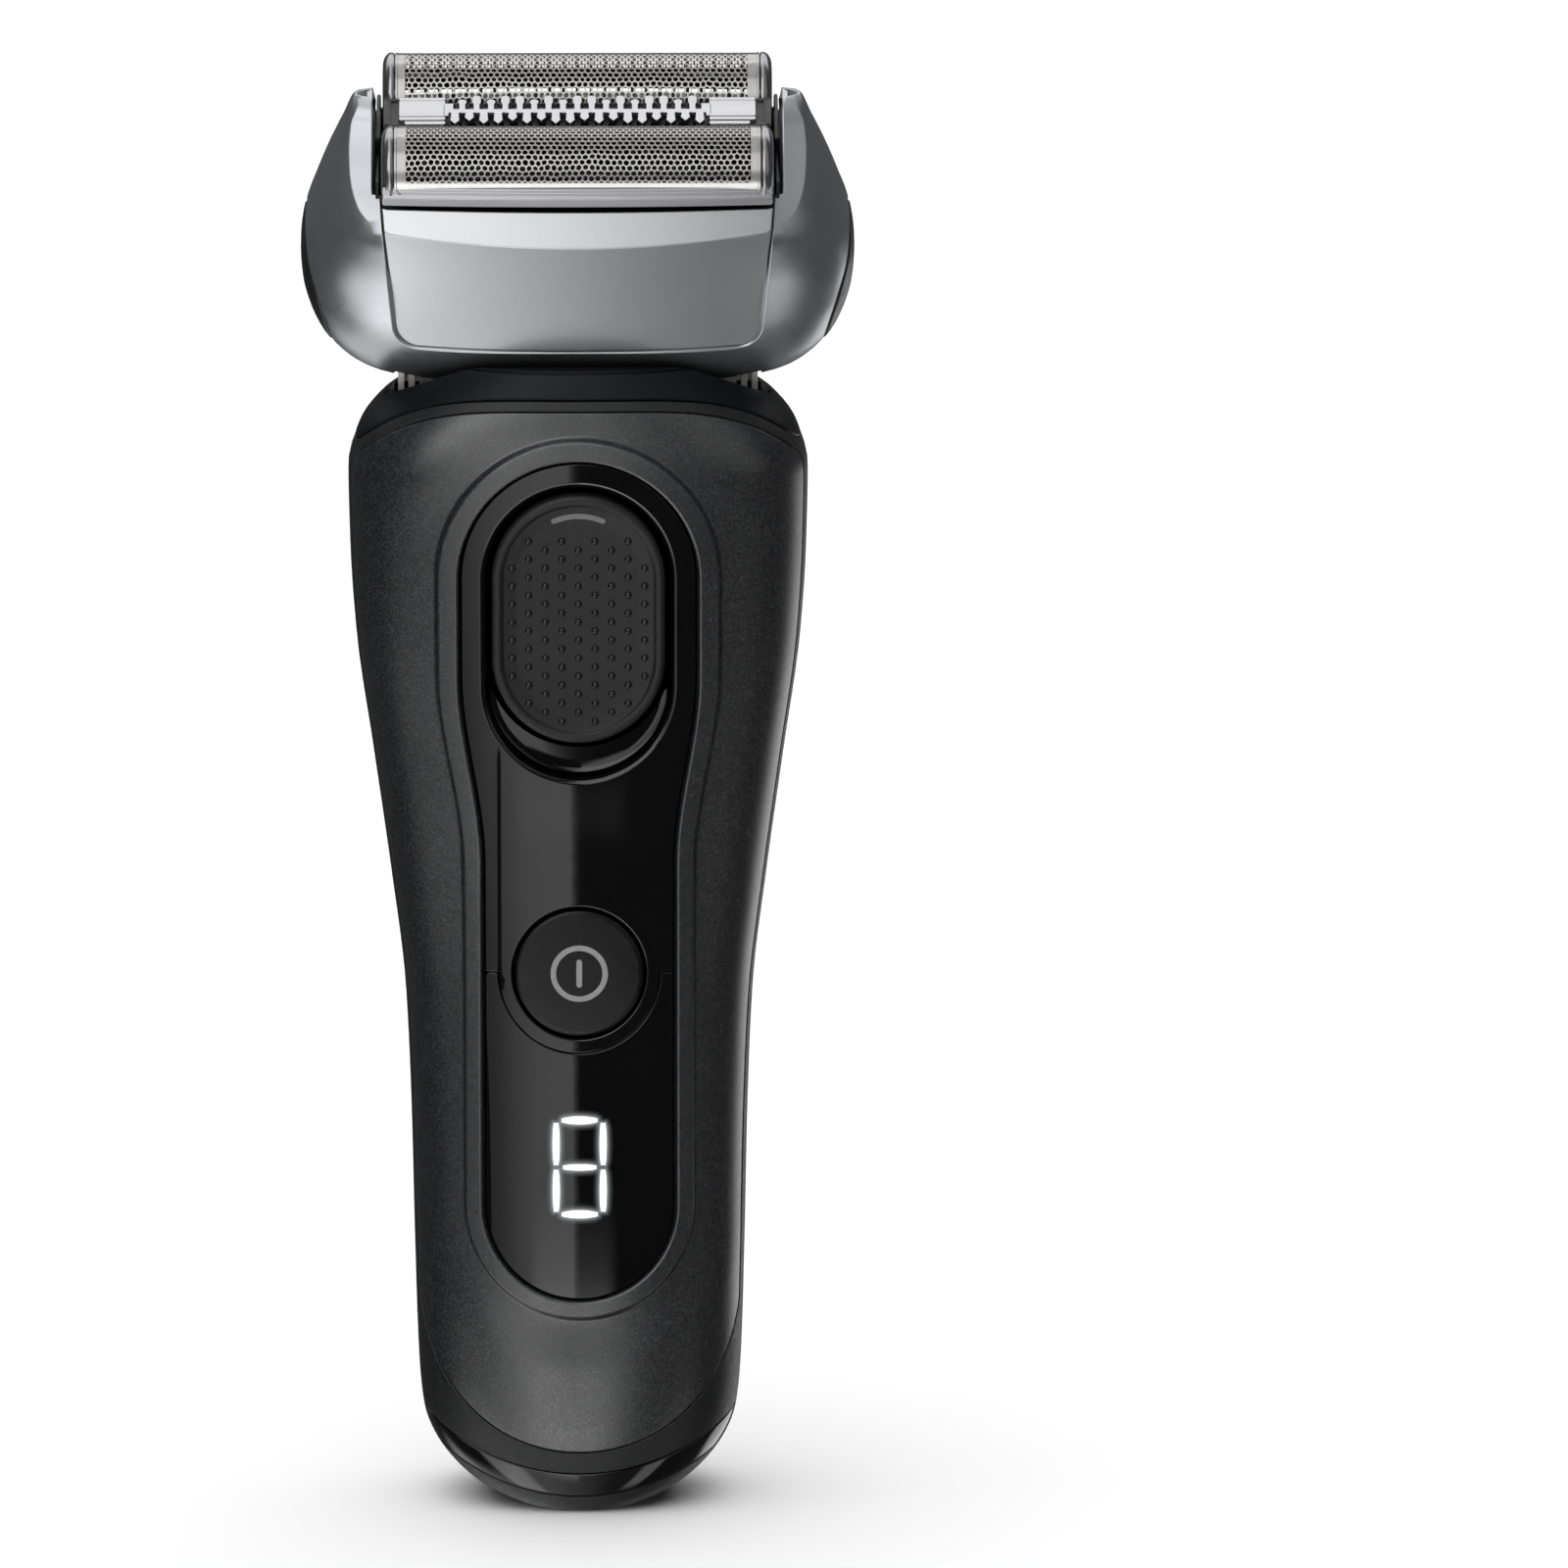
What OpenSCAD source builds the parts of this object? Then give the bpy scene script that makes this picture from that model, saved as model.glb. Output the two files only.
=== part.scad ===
// Electric foil shaver with a swivelling head, standing upright on its base.
// Millimetres, +Z up, front faces -Y, origin at the centre of the flat base.

/* [Handle] */
// wall thickness of the handle shells
shell_wall = 1.8; // [1.2:0.1:2.6]
// height of the seam under the collar, at the middle of the front
collar_seam_z = 131.0; // [126:0.1:133]
// how far that seam drops towards the sides
collar_seam_drop = 6.8; // [3:0.1:10]
// height of the seam above the base, at the middle of the front
base_seam_z = 4.8; // [3:0.1:9]
// radius of the curved base seam
base_seam_radius = 29.4; // [26:0.1:40]
// height of the glossy band round the base
band_height = 2.8; // [1.5:0.1:4]
// gap drawn at every visible seam
seam_gap = 0.06; // [0.02:0.01:0.3]

/* [Front panel] */
// upper half width of the glossy panel
panel_top_half = 13.7; // [10:0.1:18]
// lower half width of the glossy panel
panel_low_half = 11.1; // [8:0.1:15]
// centre height of the panel's round top
panel_top_z = 110.3; // [100:0.1:115]
// centre height of the panel's round bottom
panel_low_z = 36.7; // [30:0.1:50]
// how far the panel is sunk below the cover
panel_sink = 0.45; // [0.2:0.05:1]

/* [Controls] */
// centre height of the power button
button_z = 64.2; // [55:0.1:75]
// radius of the power button
button_radius = 7.45; // [5:0.05:9]
// how far the power button presses in
button_travel = 0.6; // [0.3:0.1:1.5]
// centre height of the lock slider
slider_z = 105.9; // [100:0.1:110]
// half width of the lock slider
slider_radius = 10.0; // [7:0.1:10.4]
// length of the lock slider
slider_length = 29.0; // [24:0.1:31]
// how far the lock slider moves down
slider_travel = 3.6; // [2:0.1:5]

/* [Display] */
// middle height of the display digit
digit_z = 41.35; // [38:0.05:45]
// height of the display digit
digit_height = 12.4; // [8:0.1:16]
// width of the display digit
digit_width = 6.3; // [4:0.1:8]
// width of one lit segment
segment_width = 0.75; // [0.4:0.05:1.2]

/* [Head] */
// height of the swivel axis
pivot_z = 148.4; // [140:0.1:155]
// distance of the swivel axis behind the middle of the handle
pivot_y = 1.0; // [-3:0.1:3]
// forward tilt at which the head stands
head_tilt = 19.0; // [0:0.5:20]
// half length of the well that takes the cassette
well_half_x = 23.4; // [22:0.1:25]
// half depth of that well
well_half_y = 11.4; // [10:0.1:12]
// radius of the swivel pins
pin_radius = 1.5; // [1:0.05:2]
// radial play between swivel pin and yoke
pin_play = 0.05; // [0.02:0.01:0.1]
// half depth of the release buttons' outline
release_half_y = 8.2; // [5:0.1:9]
// half height of the release buttons' outline
release_half_z = 7.4; // [5:0.1:8]
// height of the release buttons' middle above the swivel axis
release_z = -5.4; // [-7:0.1:-3]

/* [Shaving system] */
// distance of each foil's axis from the middle of the head
foil_y = 9.2; // [8:0.1:10]
// height of the foil axes above the swivel axis
foil_z = 12.0; // [10:0.1:13]
// outside radius of the foils
foil_radius = 5.2; // [4.5:0.1:6]
// thickness of the foils
foil_sheet = 0.2; // [0.1:0.05:0.4]
// half length of the foils without their end caps
foil_half = 20.95; // [18:0.05:22]
// how far the foils and the middle trimmer float down
foil_travel = 0.8; // [0.4:0.1:1]
// number of blades in each cutter block
blade_count = 25; // [15:1:31]
// spacing of the trimmer teeth
tooth_pitch = 1.67; // [1.2:0.01:2.2]

/* [Hidden] */
$fn = 48;
ring_points = 40;
big = 60;
eps = 0.01;

// handle cross-sections: height, half width, depth forward, depth back, squareness
handle_sections = [
  [0.0, 8.2, 11.8, 11.8, 2.1],
  [0.8, 10.4, 12.7, 12.7, 2.2],
  [2.2, 12.6, 13.4, 13.4, 2.3],
  [4.4, 14.9, 14.0, 14.0, 2.4],
  [7.0, 16.8, 14.4, 14.4, 2.5],
  [10.2, 18.1, 14.8, 14.7, 2.6],
  [16.0, 18.7, 15.1, 15.0, 2.7],
  [30.0, 19.15, 15.6, 15.3, 2.7],
  [46.0, 19.5, 15.9, 15.6, 2.7],
  [60.0, 20.1, 16.0, 15.9, 2.7],
  [74.0, 21.75, 16.2, 16.4, 2.7],
  [88.0, 23.7, 16.7, 17.2, 2.7],
  [102.0, 25.65, 17.3, 18.2, 2.7],
  [112.0, 26.3, 17.6, 18.6, 2.7],
  [121.9, 26.5, 17.7, 18.4, 2.7],
  [124.2, 25.8, 17.5, 17.9, 2.7],
  [126.5, 25.0, 17.2, 17.2, 2.6],
  [128.7, 23.3, 16.9, 16.8, 2.5],
  [131.2, 20.6, 16.4, 16.4, 2.4],
  [134.3, 16.6, 15.4, 15.4, 2.3]
];

// head cross-sections above and below the swivel axis: height, half width, half depth, squareness
head_sections = [
  [-17.2, 22.4, 3.6, 3.0],
  [-16.2, 24.2, 7.2, 3.0],
  [-14.6, 26.2, 10.4, 3.0],
  [-12.4, 28.2, 13.1, 3.0],
  [-9.8, 29.9, 15.2, 3.0],
  [-7.0, 31.0, 16.5, 3.0],
  [-4.5, 31.6, 17.1, 3.0],
  [-1.5, 31.8, 17.5, 3.0],
  [1.5, 31.4, 17.7, 3.0],
  [5.0, 30.2, 17.7, 3.0],
  [8.0, 29.1, 16.6, 3.0],
  [10.9, 28.0, 14.6, 2.9],
  [13.5, 27.0, 12.0, 2.8],
  [15.6, 26.3, 8.8, 2.7],
  [16.8, 25.9, 5.8, 2.6],
  [17.5, 25.5, 2.8, 2.5]
];

half_width_table = [for (s = handle_sections) [s[0], s[1]]];
front_table = [for (s = handle_sections) [s[0], s[2]]];
recess_half = 10.7;
recess_length = slider_length + slider_travel + 1.3;
recess_mid_z = slider_z - slider_travel / 2 - 0.1;
slope = 1.72;
slider_y = -(lookup(slider_z, front_table) - panel_sink);
button_face_y = -(lookup(button_z, front_table) - panel_sink + 0.18);
window_face_y = -(lookup(digit_z, front_table) - panel_sink);
trough_radius = 18.9;
yoke_inner_x = 18.8;
yoke_outer_x = 20.7;
cassette_floor_z = 3.6;
skirt_z = 10.35 + foil_travel;
comb_z = 15.0;
comb_half = 3.7;
board_y = -8.0;
battery_y = 2.6;
socket_y = 5.5;
trimmer_y = 17.6;

function oval_point(a, hw, front, back, n) = [
  hw * sign(cos(a)) * pow(abs(cos(a)), 2 / n),
  (sin(a) < 0 ? front : back) * sign(sin(a)) * pow(abs(sin(a)), 2 / n)
];
function oval(hw, front, back, n) =
  [for (i = [0 : ring_points - 1]) oval_point(i * 360 / ring_points, hw, front, back, n)];
function raise(points, z) = [for (p = points) [p[0], p[1], z]];
function top_seam(x) = collar_seam_z - collar_seam_drop * pow(min(abs(x), 27) / 26, 4);
function base_seam(x) =
  base_seam_z + base_seam_radius - sqrt(pow(base_seam_radius, 2) - pow(min(abs(x), 27), 2));
function half_width(z) = lookup(z, half_width_table);
function smooth(t) = t <= 0 ? 0 : t >= 1 ? 1 : t * t * (3 - 2 * t);
function panel_half(z) =
  panel_top_half - (panel_top_half - panel_low_half) * smooth((98.9 - z) / 21.8);

// closed solid through a stack of rings
module loft(rings) {
  k = len(rings[0]);
  m = len(rings);
  polyhedron(
    points = [for (r = rings) each r],
    faces = concat(
      [[for (i = [0 : k - 1]) i]],
      [for (j = [0 : m - 2]) for (i = [0 : k - 1]) [j * k + i, (j + 1) * k + i, (j + 1) * k + (i + 1) % k]],
      [for (j = [0 : m - 2])
        for (i = [0 : k - 1]) [j * k + i, (j + 1) * k + (i + 1) % k, j * k + (i + 1) % k]],
      [[for (i = [k - 1 : -1 : 0]) (m - 1) * k + i]]
    )
  );
}

module handle_solid(inset = 0) {
  loft([for (s = handle_sections) raise(oval(s[1] - inset, s[2] - inset, s[3] - inset, s[4]), s[0])]);
}

module head_solid(grow = 0) {
  loft([for (s = head_sections) raise(oval(s[1] + grow, s[2] + grow, s[2] + grow, s[3]), s[0])]);
}

// extrudes a front-view shape between two depths
module front_prism(y_low, y_high) {
  translate([0, y_high, 0])
    rotate([90, 0, 0])
      linear_extrude(y_high - y_low) children();
}

// extrudes a side-view shape (depth, height) between two x positions
module side_prism(x_low, x_high) {
  translate([x_low, 0, 0])
    rotate([90, 0, 90])
      linear_extrude(x_high - x_low) children();
}

module block(low, high) {
  translate(low) cube(high - low);
}

module both_sides() {
  children();
  mirror([1, 0, 0]) children();
}

module stadium(r, length) {
  translate([0, length / 2 - r]) circle(r);
  translate([0, r - length / 2]) circle(r);
  square([2 * r, length - 2 * r], center = true);
}

module rounded_box(size_x, size_y, r) {
  square([size_x - 2 * r, size_y], center = true);
  square([size_x, size_y - 2 * r], center = true);
  for (x = [-1, 1])
    for (y = [-1, 1])
      translate([x * (size_x / 2 - r), y * (size_y / 2 - r)]) circle(r);
}

module under_top_seam(gap) {
  polygon(concat(
    [[-30, -1]],
    [[30, -1]],
    [for (x = [30 : -2 : -30]) [x, top_seam(x) - gap]]
  ));
}

module over_base_seam(lift) {
  polygon(concat(
    [for (x = [-28 : 2 : 28]) [x, base_seam(x) + lift]],
    [[28, 150]],
    [[-28, 150]]
  ));
}

module cover_outline(grow) {
  polygon(concat(
    [for (x = [-24.8 : 3.1 : 24.8]) [x, top_seam(x) - 1.25 + grow]],
    [for (z = [120 : -6 : 30]) [half_width(z) - 0.5 + grow, z]],
    [for (a = [0 : -10 : -180]) [(18.6 + grow) * cos(a), 26 + (18.6 + grow) * sin(a)]],
    [for (z = [30 : 6 : 120]) [-half_width(z) + 0.5 - grow, z]]
  ));
}

module panel_outline(grow) {
  polygon(concat(
    [for (a = [0 : 7.5 : 180])
      [(panel_top_half + grow) * cos(a), panel_top_z + (panel_top_half + grow) * sin(a)]],
    [for (z = [100 : -3 : 76]) [-panel_half(z) - grow, z]],
    [for (a = [180 : 9 : 360])
      [(panel_low_half + grow) * cos(a), panel_low_z + (panel_low_half + grow) * sin(a)]],
    [for (z = [76 : 3 : 100]) [panel_half(z) + grow, z]]
  ));
}

module upper_panel_zone(grow) {
  translate([-20, button_z - grow]) square([40, 70]);
  translate([0, button_z]) circle(9.4 + grow);
}

// places the children in the tilted frame of the lock slider
module slider_frame() {
  translate([0, slider_y, slider_z]) rotate([slope, 0, 0]) children();
}

// places the children in the head's own frame, whose origin is on the swivel axis
module in_head() {
  translate([0, pivot_y, pivot_z]) rotate([head_tilt, 0, 0]) children();
}

module rear_housing() {
  color([0.10, 0.10, 0.11])
    resize([0, 0, 0])
      difference() {
        intersection() {
          handle_solid();
          front_prism(-big, big) under_top_seam(seam_gap);
          front_prism(-big, big) over_base_seam(seam_gap);
        }
        handle_solid(shell_wall);
        front_prism(-big, -4.9) cover_outline(seam_gap);
        block([-9.6, 15.4, 92.9], [9.6, big, 125.6]);
        block([-7.8, 17.3, 100], [7.8, big, 150]);
        for (x = [-4.5, 4.5])
          translate([x, 10, 22]) rotate([-90, 0, 0]) cylinder(h = 10, r = 1.9);
      }
}

module front_cover() {
  color([0.16, 0.165, 0.175])
    resize([0, 0, 0])
      difference() {
        intersection() {
          handle_solid();
          front_prism(-big, -5.0) cover_outline(0);
        }
        handle_solid(shell_wall);
        front_prism(-big, big) panel_outline(0.1);
      }
}

module collar() {
  color([0.07, 0.07, 0.075])
    resize([0, 0, 0])
      difference() {
        intersection() {
          handle_solid();
          block([-30, -30, 118], [30, 30, 136]);
        }
        front_prism(-big, big) under_top_seam(-seam_gap);
        translate([-big, pivot_y, pivot_z])
          rotate([0, 90, 0]) cylinder(h = 2 * big, r = trough_radius, $fn = 96);
        intersection() {
          handle_solid(2.4);
          block([-17.6, -30, 110], [17.6, 30, 127.4]);
        }
        both_sides() block([18.3, pivot_y - 3.8, 110], [21.1, pivot_y + 3.8, 140]);
        block([-7.8, 17.3, 100], [7.8, big, 150]);
      }
}

module base_band() {
  color([0.02, 0.02, 0.022])
    resize([0, 0, 0])
      difference() {
        intersection() {
          handle_solid();
          front_prism(-big, big) over_base_seam(-band_height);
        }
        front_prism(-big, big) over_base_seam(-seam_gap);
        handle_solid(3.0);
      }
}

module base_foot() {
  color([0.05, 0.05, 0.055])
    resize([0, 0, 0])
      difference() {
        intersection() {
          handle_solid();
          block([-30, -30, -1], [30, 30, 20]);
        }
        front_prism(-big, big) over_base_seam(-band_height - seam_gap);
        block([-5.3, socket_y - 3.5, -1], [5.3, socket_y + 3.5, 20]);
      }
}

module fascia() {
  color([0.015, 0.015, 0.017])
    resize([0, 0, 0])
      difference() {
        union() {
          intersection() {
            handle_solid(panel_sink);
            front_prism(-big, -6) panel_outline(0);
            front_prism(-big, big) upper_panel_zone(0);
            difference() {
              handle_solid();
              handle_solid(2.2);
            }
          }
          slider_frame()
            front_prism(1.2, 4.2)
              translate([0, recess_mid_z - slider_z]) stadium(recess_half + 1.2, recess_length + 2.4);
        }
        slider_frame()
          front_prism(-6, 2.3)
            translate([0, recess_mid_z - slider_z]) stadium(recess_half, recess_length);
        slider_frame() block([-2.5, 0, -6.5], [2.5, 8, 3.3]);
        translate([0, 0, button_z]) rotate([90, 0, 0]) cylinder(h = 30, r = button_radius + 0.3);
      }
}

module display_window() {
  color([0.012, 0.012, 0.014])
    resize([0, 0, 0])
      difference() {
        intersection() {
          handle_solid(panel_sink);
          front_prism(-big, -6) panel_outline(0);
        }
        handle_solid(2.2);
        front_prism(-big, big) upper_panel_zone(seam_gap);
      }
}

module segment(x, z, length, upright) {
  translate([x, z])
    square(upright ? [segment_width, length] : [length, segment_width], center = true);
}

module display_digit() {
  bar = digit_width - 2.2 * segment_width;
  post = digit_height / 2 - 1.6 * segment_width;
  color([0.95, 0.97, 1.0])
    front_prism(window_face_y - 0.23, window_face_y - 0.12)
      translate([0, digit_z]) {
        for (z = [-1, 0, 1]) segment(0, z * (digit_height - segment_width) / 2, bar, false);
        for (x = [-1, 1])
          for (z = [-1, 1])
            segment(x * (digit_width - segment_width) / 2, z * digit_height / 4, post, true);
      }
}

module display_module() {
  color([0.85, 0.85, 0.82])
    block([-5.5, board_y - 5.2, digit_z - 8.5], [5.5, board_y - 0.02, digit_z + 8.5]);
}

module collar_gasket() {
  color([0.08, 0.08, 0.08])
    translate([0, 0, 118.6])
      linear_extrude(1.6)
        difference() {
          polygon(oval(24.49, 9.9, 15.3, 2.7));
          polygon(oval(23.04, 8.5, 13.9, 2.7));
        }
}

module inner_frame() {
  color([0.55, 0.56, 0.58])
    difference() {
      union() {
        block([-13.2, -6.4, 13], [13.2, -5.0, 100]);
        block([-13.2, -6.4, 24], [-11.8, 6, 86]);
        block([11.8, -6.4, 24], [13.2, 6, 86]);
        block([-12.6, -6.4, 24], [12.6, 7, 27.6]);
        block([-12.6, -6.4, 82.4], [12.6, 7, 86]);
      }
      translate([0, battery_y, 27]) cylinder(h = 56, r = 7.35);
      for (x = [-9.3, 9.3])
        for (z = [18, 92])
          translate([x, 0, z]) rotate([90, 0, 0]) cylinder(h = 20, r = 0.85);
    }
}

module battery() {
  color([0.16, 0.35, 0.60])
    translate([0, battery_y, 29.2]) {
      cylinder(h = 50, r = 7.1);
      translate([0, 0, 50 - eps]) cylinder(h = 1.2, r = 2.2);
    }
}

module battery_tabs() {
  color([0.80, 0.80, 0.78]) {
    block([-2.5, battery_y - 6, 28.7], [2.5, battery_y + 3, 29.1]);
    block([-2.5, battery_y - 6, 80.5], [2.5, battery_y + 3, 80.9]);
  }
}

module circuit_board() {
  color([0.05, 0.32, 0.18])
    difference() {
      front_prism(board_y, board_y + 1.2)
        translate([0, 55]) rounded_box(23, 82, 2);
      for (x = [-9.3, 9.3])
        for (z = [18, 92])
          translate([x, 0, z]) rotate([90, 0, 0]) cylinder(h = 20, r = 0.9);
    }
}

module board_components() {
  color([0.10, 0.10, 0.11]) {
    block([-8.0, board_y - 1.1, 24], [-2.0, board_y - 0.02, 30]);
    block([1.0, board_y - 0.9, 22], [7.0, board_y - 0.02, 26]);
    block([-8.5, board_y - 1.0, 75], [-3.5, board_y - 0.02, 83]);
    block([2.5, board_y - 1.4, 76], [8.5, board_y - 0.02, 80]);
    translate([5.5, board_y - 0.02, 54.0]) rotate([90, 0, 0]) cylinder(h = 2.2, r = 1.6);
    translate([-5.5, board_y - 0.02, 54.0]) rotate([90, 0, 0]) cylinder(h = 2.2, r = 1.6);
  }
}

module power_switch() {
  color([0.72, 0.72, 0.74]) {
    block([-3, board_y - 1.4, button_z - 3], [3, board_y - 0.02, button_z + 3]);
    translate([0, board_y - 1.4 + eps, button_z]) rotate([90, 0, 0]) cylinder(h = 0.45, r = 1.6);
  }
}

module board_screws() {
  color([0.78, 0.78, 0.80])
    for (x = [-9.3, 9.3])
      for (z = [18, 92])
        translate([x, board_y - 0.03, z]) {
          rotate([90, 0, 0]) cylinder(h = 0.9, r = 1.6);
          rotate([-90, 0, 0]) cylinder(h = 2.9, r = 0.8);
        }
}

module charge_socket() {
  color([0.09, 0.09, 0.10])
    difference() {
      block([-5.2, socket_y - 3.4, 0.3], [5.2, socket_y + 3.4, 12.5]);
      block([-4.1, socket_y - 2.6, -1], [4.1, socket_y + 2.6, 10]);
      for (x = [-1.8, 1.8])
        translate([x, socket_y, 5]) cylinder(h = 10, r = 0.61);
    }
}

module charge_pins() {
  color([0.85, 0.80, 0.60])
    for (x = [-1.8, 1.8])
      translate([x, socket_y, 4.8]) cylinder(h = 9, r = 0.6);
}

module clean_contacts() {
  color([0.80, 0.80, 0.82])
    for (x = [-4.5, 4.5])
      translate([x, 12.2, 22]) rotate([-90, 0, 0]) cylinder(h = 3.0, r = 1.8);
}

module motor_lead() {
  color([0.55, 0.30, 0.10]) {
    block([-3, 9.0, 88], [3, 9.3, 126.6]);
    block([-3, -4.6, 88], [3, 9.3, 88.3]);
  }
}

module yoke_plate(x_low, x_high) {
  side_prism(x_low, x_high)
    difference() {
      union() {
        translate([pivot_y, pivot_z]) circle(3.0);
        translate([pivot_y - 3, 119.4]) square([6, pivot_z - 119.4]);
      }
      translate([pivot_y, pivot_z]) circle(pin_radius + pin_play);
    }
}

module swivel_yoke() {
  color([0.70, 0.68, 0.64]) {
    block([-yoke_outer_x, pivot_y - 4.5, 117.4], [yoke_outer_x, pivot_y + 4.5, 119.5]);
    both_sides() {
      yoke_plate(yoke_inner_x, yoke_inner_x + 0.7);
      yoke_plate(yoke_outer_x - 0.7, yoke_outer_x);
    }
  }
}

module trimmer_rail() {
  color([0.06, 0.06, 0.065])
    difference() {
      block([-9.5, 15.5, 93], [9.5, 18.9, 125.5]);
      block([-7.6, trimmer_y - 0.3, 95], [7.6, 20, 130]);
    }
}

module power_button() {
  color([0.03, 0.03, 0.033])
    translate([0, 0, button_z])
      rotate([90, 0, 0]) {
        translate([0, 0, -button_face_y - 2.6])
          rotate_extrude()
            polygon([
              [0, 0],
              [button_radius, 0],
              [button_radius, 2.3],
              [button_radius - 0.3, 2.6],
              [button_radius - 0.9, 2.6],
              [button_radius - 1.1, 2.4],
              [button_radius - 1.3, 2.6],
              [0, 2.6]
            ]);
        translate([0, 0, 10.3 + button_travel])
          cylinder(h = -button_face_y - 12.3 - button_travel, r = 1.6);
      }
}

module power_icon() {
  color([0.62, 0.62, 0.63])
    translate([0, 0, button_z])
      front_prism(button_face_y - 0.08, button_face_y - 0.01) {
        difference() {
          circle(3.4);
          circle(2.8);
        }
        square([0.72, 3.3], center = true);
      }
}

module slider_dots() {
  for (c = [-4 : 4])
    for (r = [-5 : 5])
      let (x = c * 1.96, z = (r + (abs(c) % 2) / 2) * 2.15)
        if (z < 11 && pow(x, 2) + pow(max(abs(z) - 4.2, 0), 2) < 66)
          translate([x, -1.3 + x * x / 90, z])
            rotate([-90, 0, 0]) cylinder(h = 0.7, r1 = 0.3, r2 = 0.48, $fn = 8);
}

module lock_slider() {
  color([0.04, 0.04, 0.043])
    slider_frame()
      resize([0, 0, 0]) {
        intersection() {
          front_prism(-1.1, 1.7) stadium(slider_radius, slider_length);
          translate([0, 43.9, -20]) cylinder(h = 40, r = 45, $fn = 240);
        }
        slider_dots();
        block([-2.0, 1.6, -2.6], [2.0, 4.8, 2.9]);
      }
}

module slider_mark() {
  color([0.62, 0.62, 0.63])
    slider_frame()
      intersection() {
        translate([0, 43.9, -20])
          difference() {
            cylinder(h = 40, r = 45.09);
            translate([0, 0, -1]) cylinder(h = 42, r = 45.01);
          }
        front_prism(-2, 0.5)
          translate([0, 7.2])
            intersection() {
              difference() {
                circle(5.6);
                circle(5.0);
              }
              polygon([[0, 0], [3.4, 7], [-3.4, 7]]);
            }
      }
}

module slider_latch() {
  color([0.50, 0.50, 0.52])
    slider_frame() {
      block([-4.5, 4.82, -4.0], [4.5, 5.8, 4.4]);
      block([-1.5, 4.82, 4.3], [1.5, 5.8, 20.5]);
    }
}

module trimmer_slide() {
  color([0.13, 0.13, 0.14]) {
    block([-7.3, trimmer_y, 97], [7.3, trimmer_y + 1.3, 121.6]);
    for (z = [101 : 1.6 : 109]) block([-5, trimmer_y + 1.25, z], [5, trimmer_y + 1.9, z + 0.8]);
  }
}

module tooth_bar(low, high, z_low, z_high, count, tooth) {
  block([low, 0, z_low], [high, 0.45, z_high]);
  pitch = (high - low - tooth) / (count - 1);
  for (i = [0 : count - 1])
    translate([low + i * pitch, 0, z_high - eps]) cube([tooth, 0.45, 1.9 + eps]);
}

module hair_comb() {
  color([0.75, 0.76, 0.78])
    translate([0, trimmer_y + 0.75, 0]) tooth_bar(-6.8, 6.8, 121.65, 124.4, 14, 0.45);
}

module hair_blade() {
  color([0.66, 0.67, 0.70])
    translate([0, trimmer_y + 0.2, 0]) tooth_bar(-6.0, 6.0, 121.65, 124.2, 12, 0.45);
}

module trapezoid_panel(grow) {
  corner = 2.8 + grow;
  polygon(concat(
    [[22.35 + grow, 10.0]],
    [for (a = [-6 : -14 : -90])
      [20.95 - 2.8 + corner * cos(a), -7.6 + 2.8 + corner * sin(a)]],
    [for (a = [-90 : -14 : -174])
      [-20.95 + 2.8 + corner * cos(a), -7.6 + 2.8 + corner * sin(a)]],
    [[-22.35 - grow, 10.0]]
  ));
}

module head_frame() {
  color([0.42, 0.43, 0.45])
    in_head()
      resize([0, 0, 0])
        difference() {
          head_solid();
          block([-well_half_x, -well_half_y, -11], [well_half_x, well_half_y, 30]);
          block([-well_half_x, -big, 9.95], [well_half_x, big, 30]);
          front_prism(-big, -well_half_y - 1.1) trapezoid_panel(0.15);
          front_prism(well_half_y + 1.1, big) trapezoid_panel(0.15);
          both_sides() block([18.2, -9.6, -30], [21.3, 9.6, -10]);
          both_sides()
            translate([24.2, 0, release_z])
              rotate([90, 0, 90]) linear_extrude(30)
                scaled_oval(release_half_y + 0.3, release_half_z + 0.3);
        }
}

module scaled_oval(a, b) {
  polygon([for (t = [0 : 10 : 350]) [a * cos(t), b * sin(t)]]);
}

module head_panel_solid() {
  intersection() {
    front_prism(-22, -well_half_y - 1.2) trapezoid_panel(0);
    translate([0, -17.9, 6.6])
      rotate([6.8, 0, 0])
        translate([0, 114, -30]) cylinder(h = 60, r = 114, $fn = 360);
    translate([0, -17.9, 6.6])
      rotate([-39.5, 0, 0])
        translate([0, 250, -30]) cylinder(h = 60, r = 250, $fn = 360);
  }
}

module front_panel() {
  color([0.50, 0.51, 0.53]) in_head() head_panel_solid();
}

module rear_panel() {
  color([0.50, 0.51, 0.53]) in_head() rotate([0, 0, 180]) head_panel_solid();
}

module head_chassis() {
  color([0.09, 0.09, 0.10])
    in_head()
      difference() {
        union() {
          block([-23.2, -11.2, 2.2], [23.2, 11.2, 3.1]);
          both_sides() {
            block([16.2, -3.4, -3.4], [18.3, 3.4, 2.3]);
            block([21.1, -3.4, -3.4], [23.2, 3.4, 2.3]);
          }
        }
        both_sides() block([18.3, -4.2, 1], [21.1, 4.2, 5]);
        for (y = [-foil_y, 0, foil_y])
          translate([0, y, 0]) block([-2.8, -1.6, 0], [2.8, 1.6, 5]);
        translate([-30, 0, 0]) rotate([0, 90, 0]) cylinder(h = 60, r = pin_radius + 0.005);
      }
}

module drive_seal() {
  color([0.10, 0.10, 0.10])
    in_head()
      difference() {
        block([-9, -11.0, 3.12], [9, 11.0, 3.42]);
        for (y = [-foil_y, 0, foil_y])
          translate([0, y, 0]) block([-2.3, -1.15, 0], [2.3, 1.15, 5]);
      }
}

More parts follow.
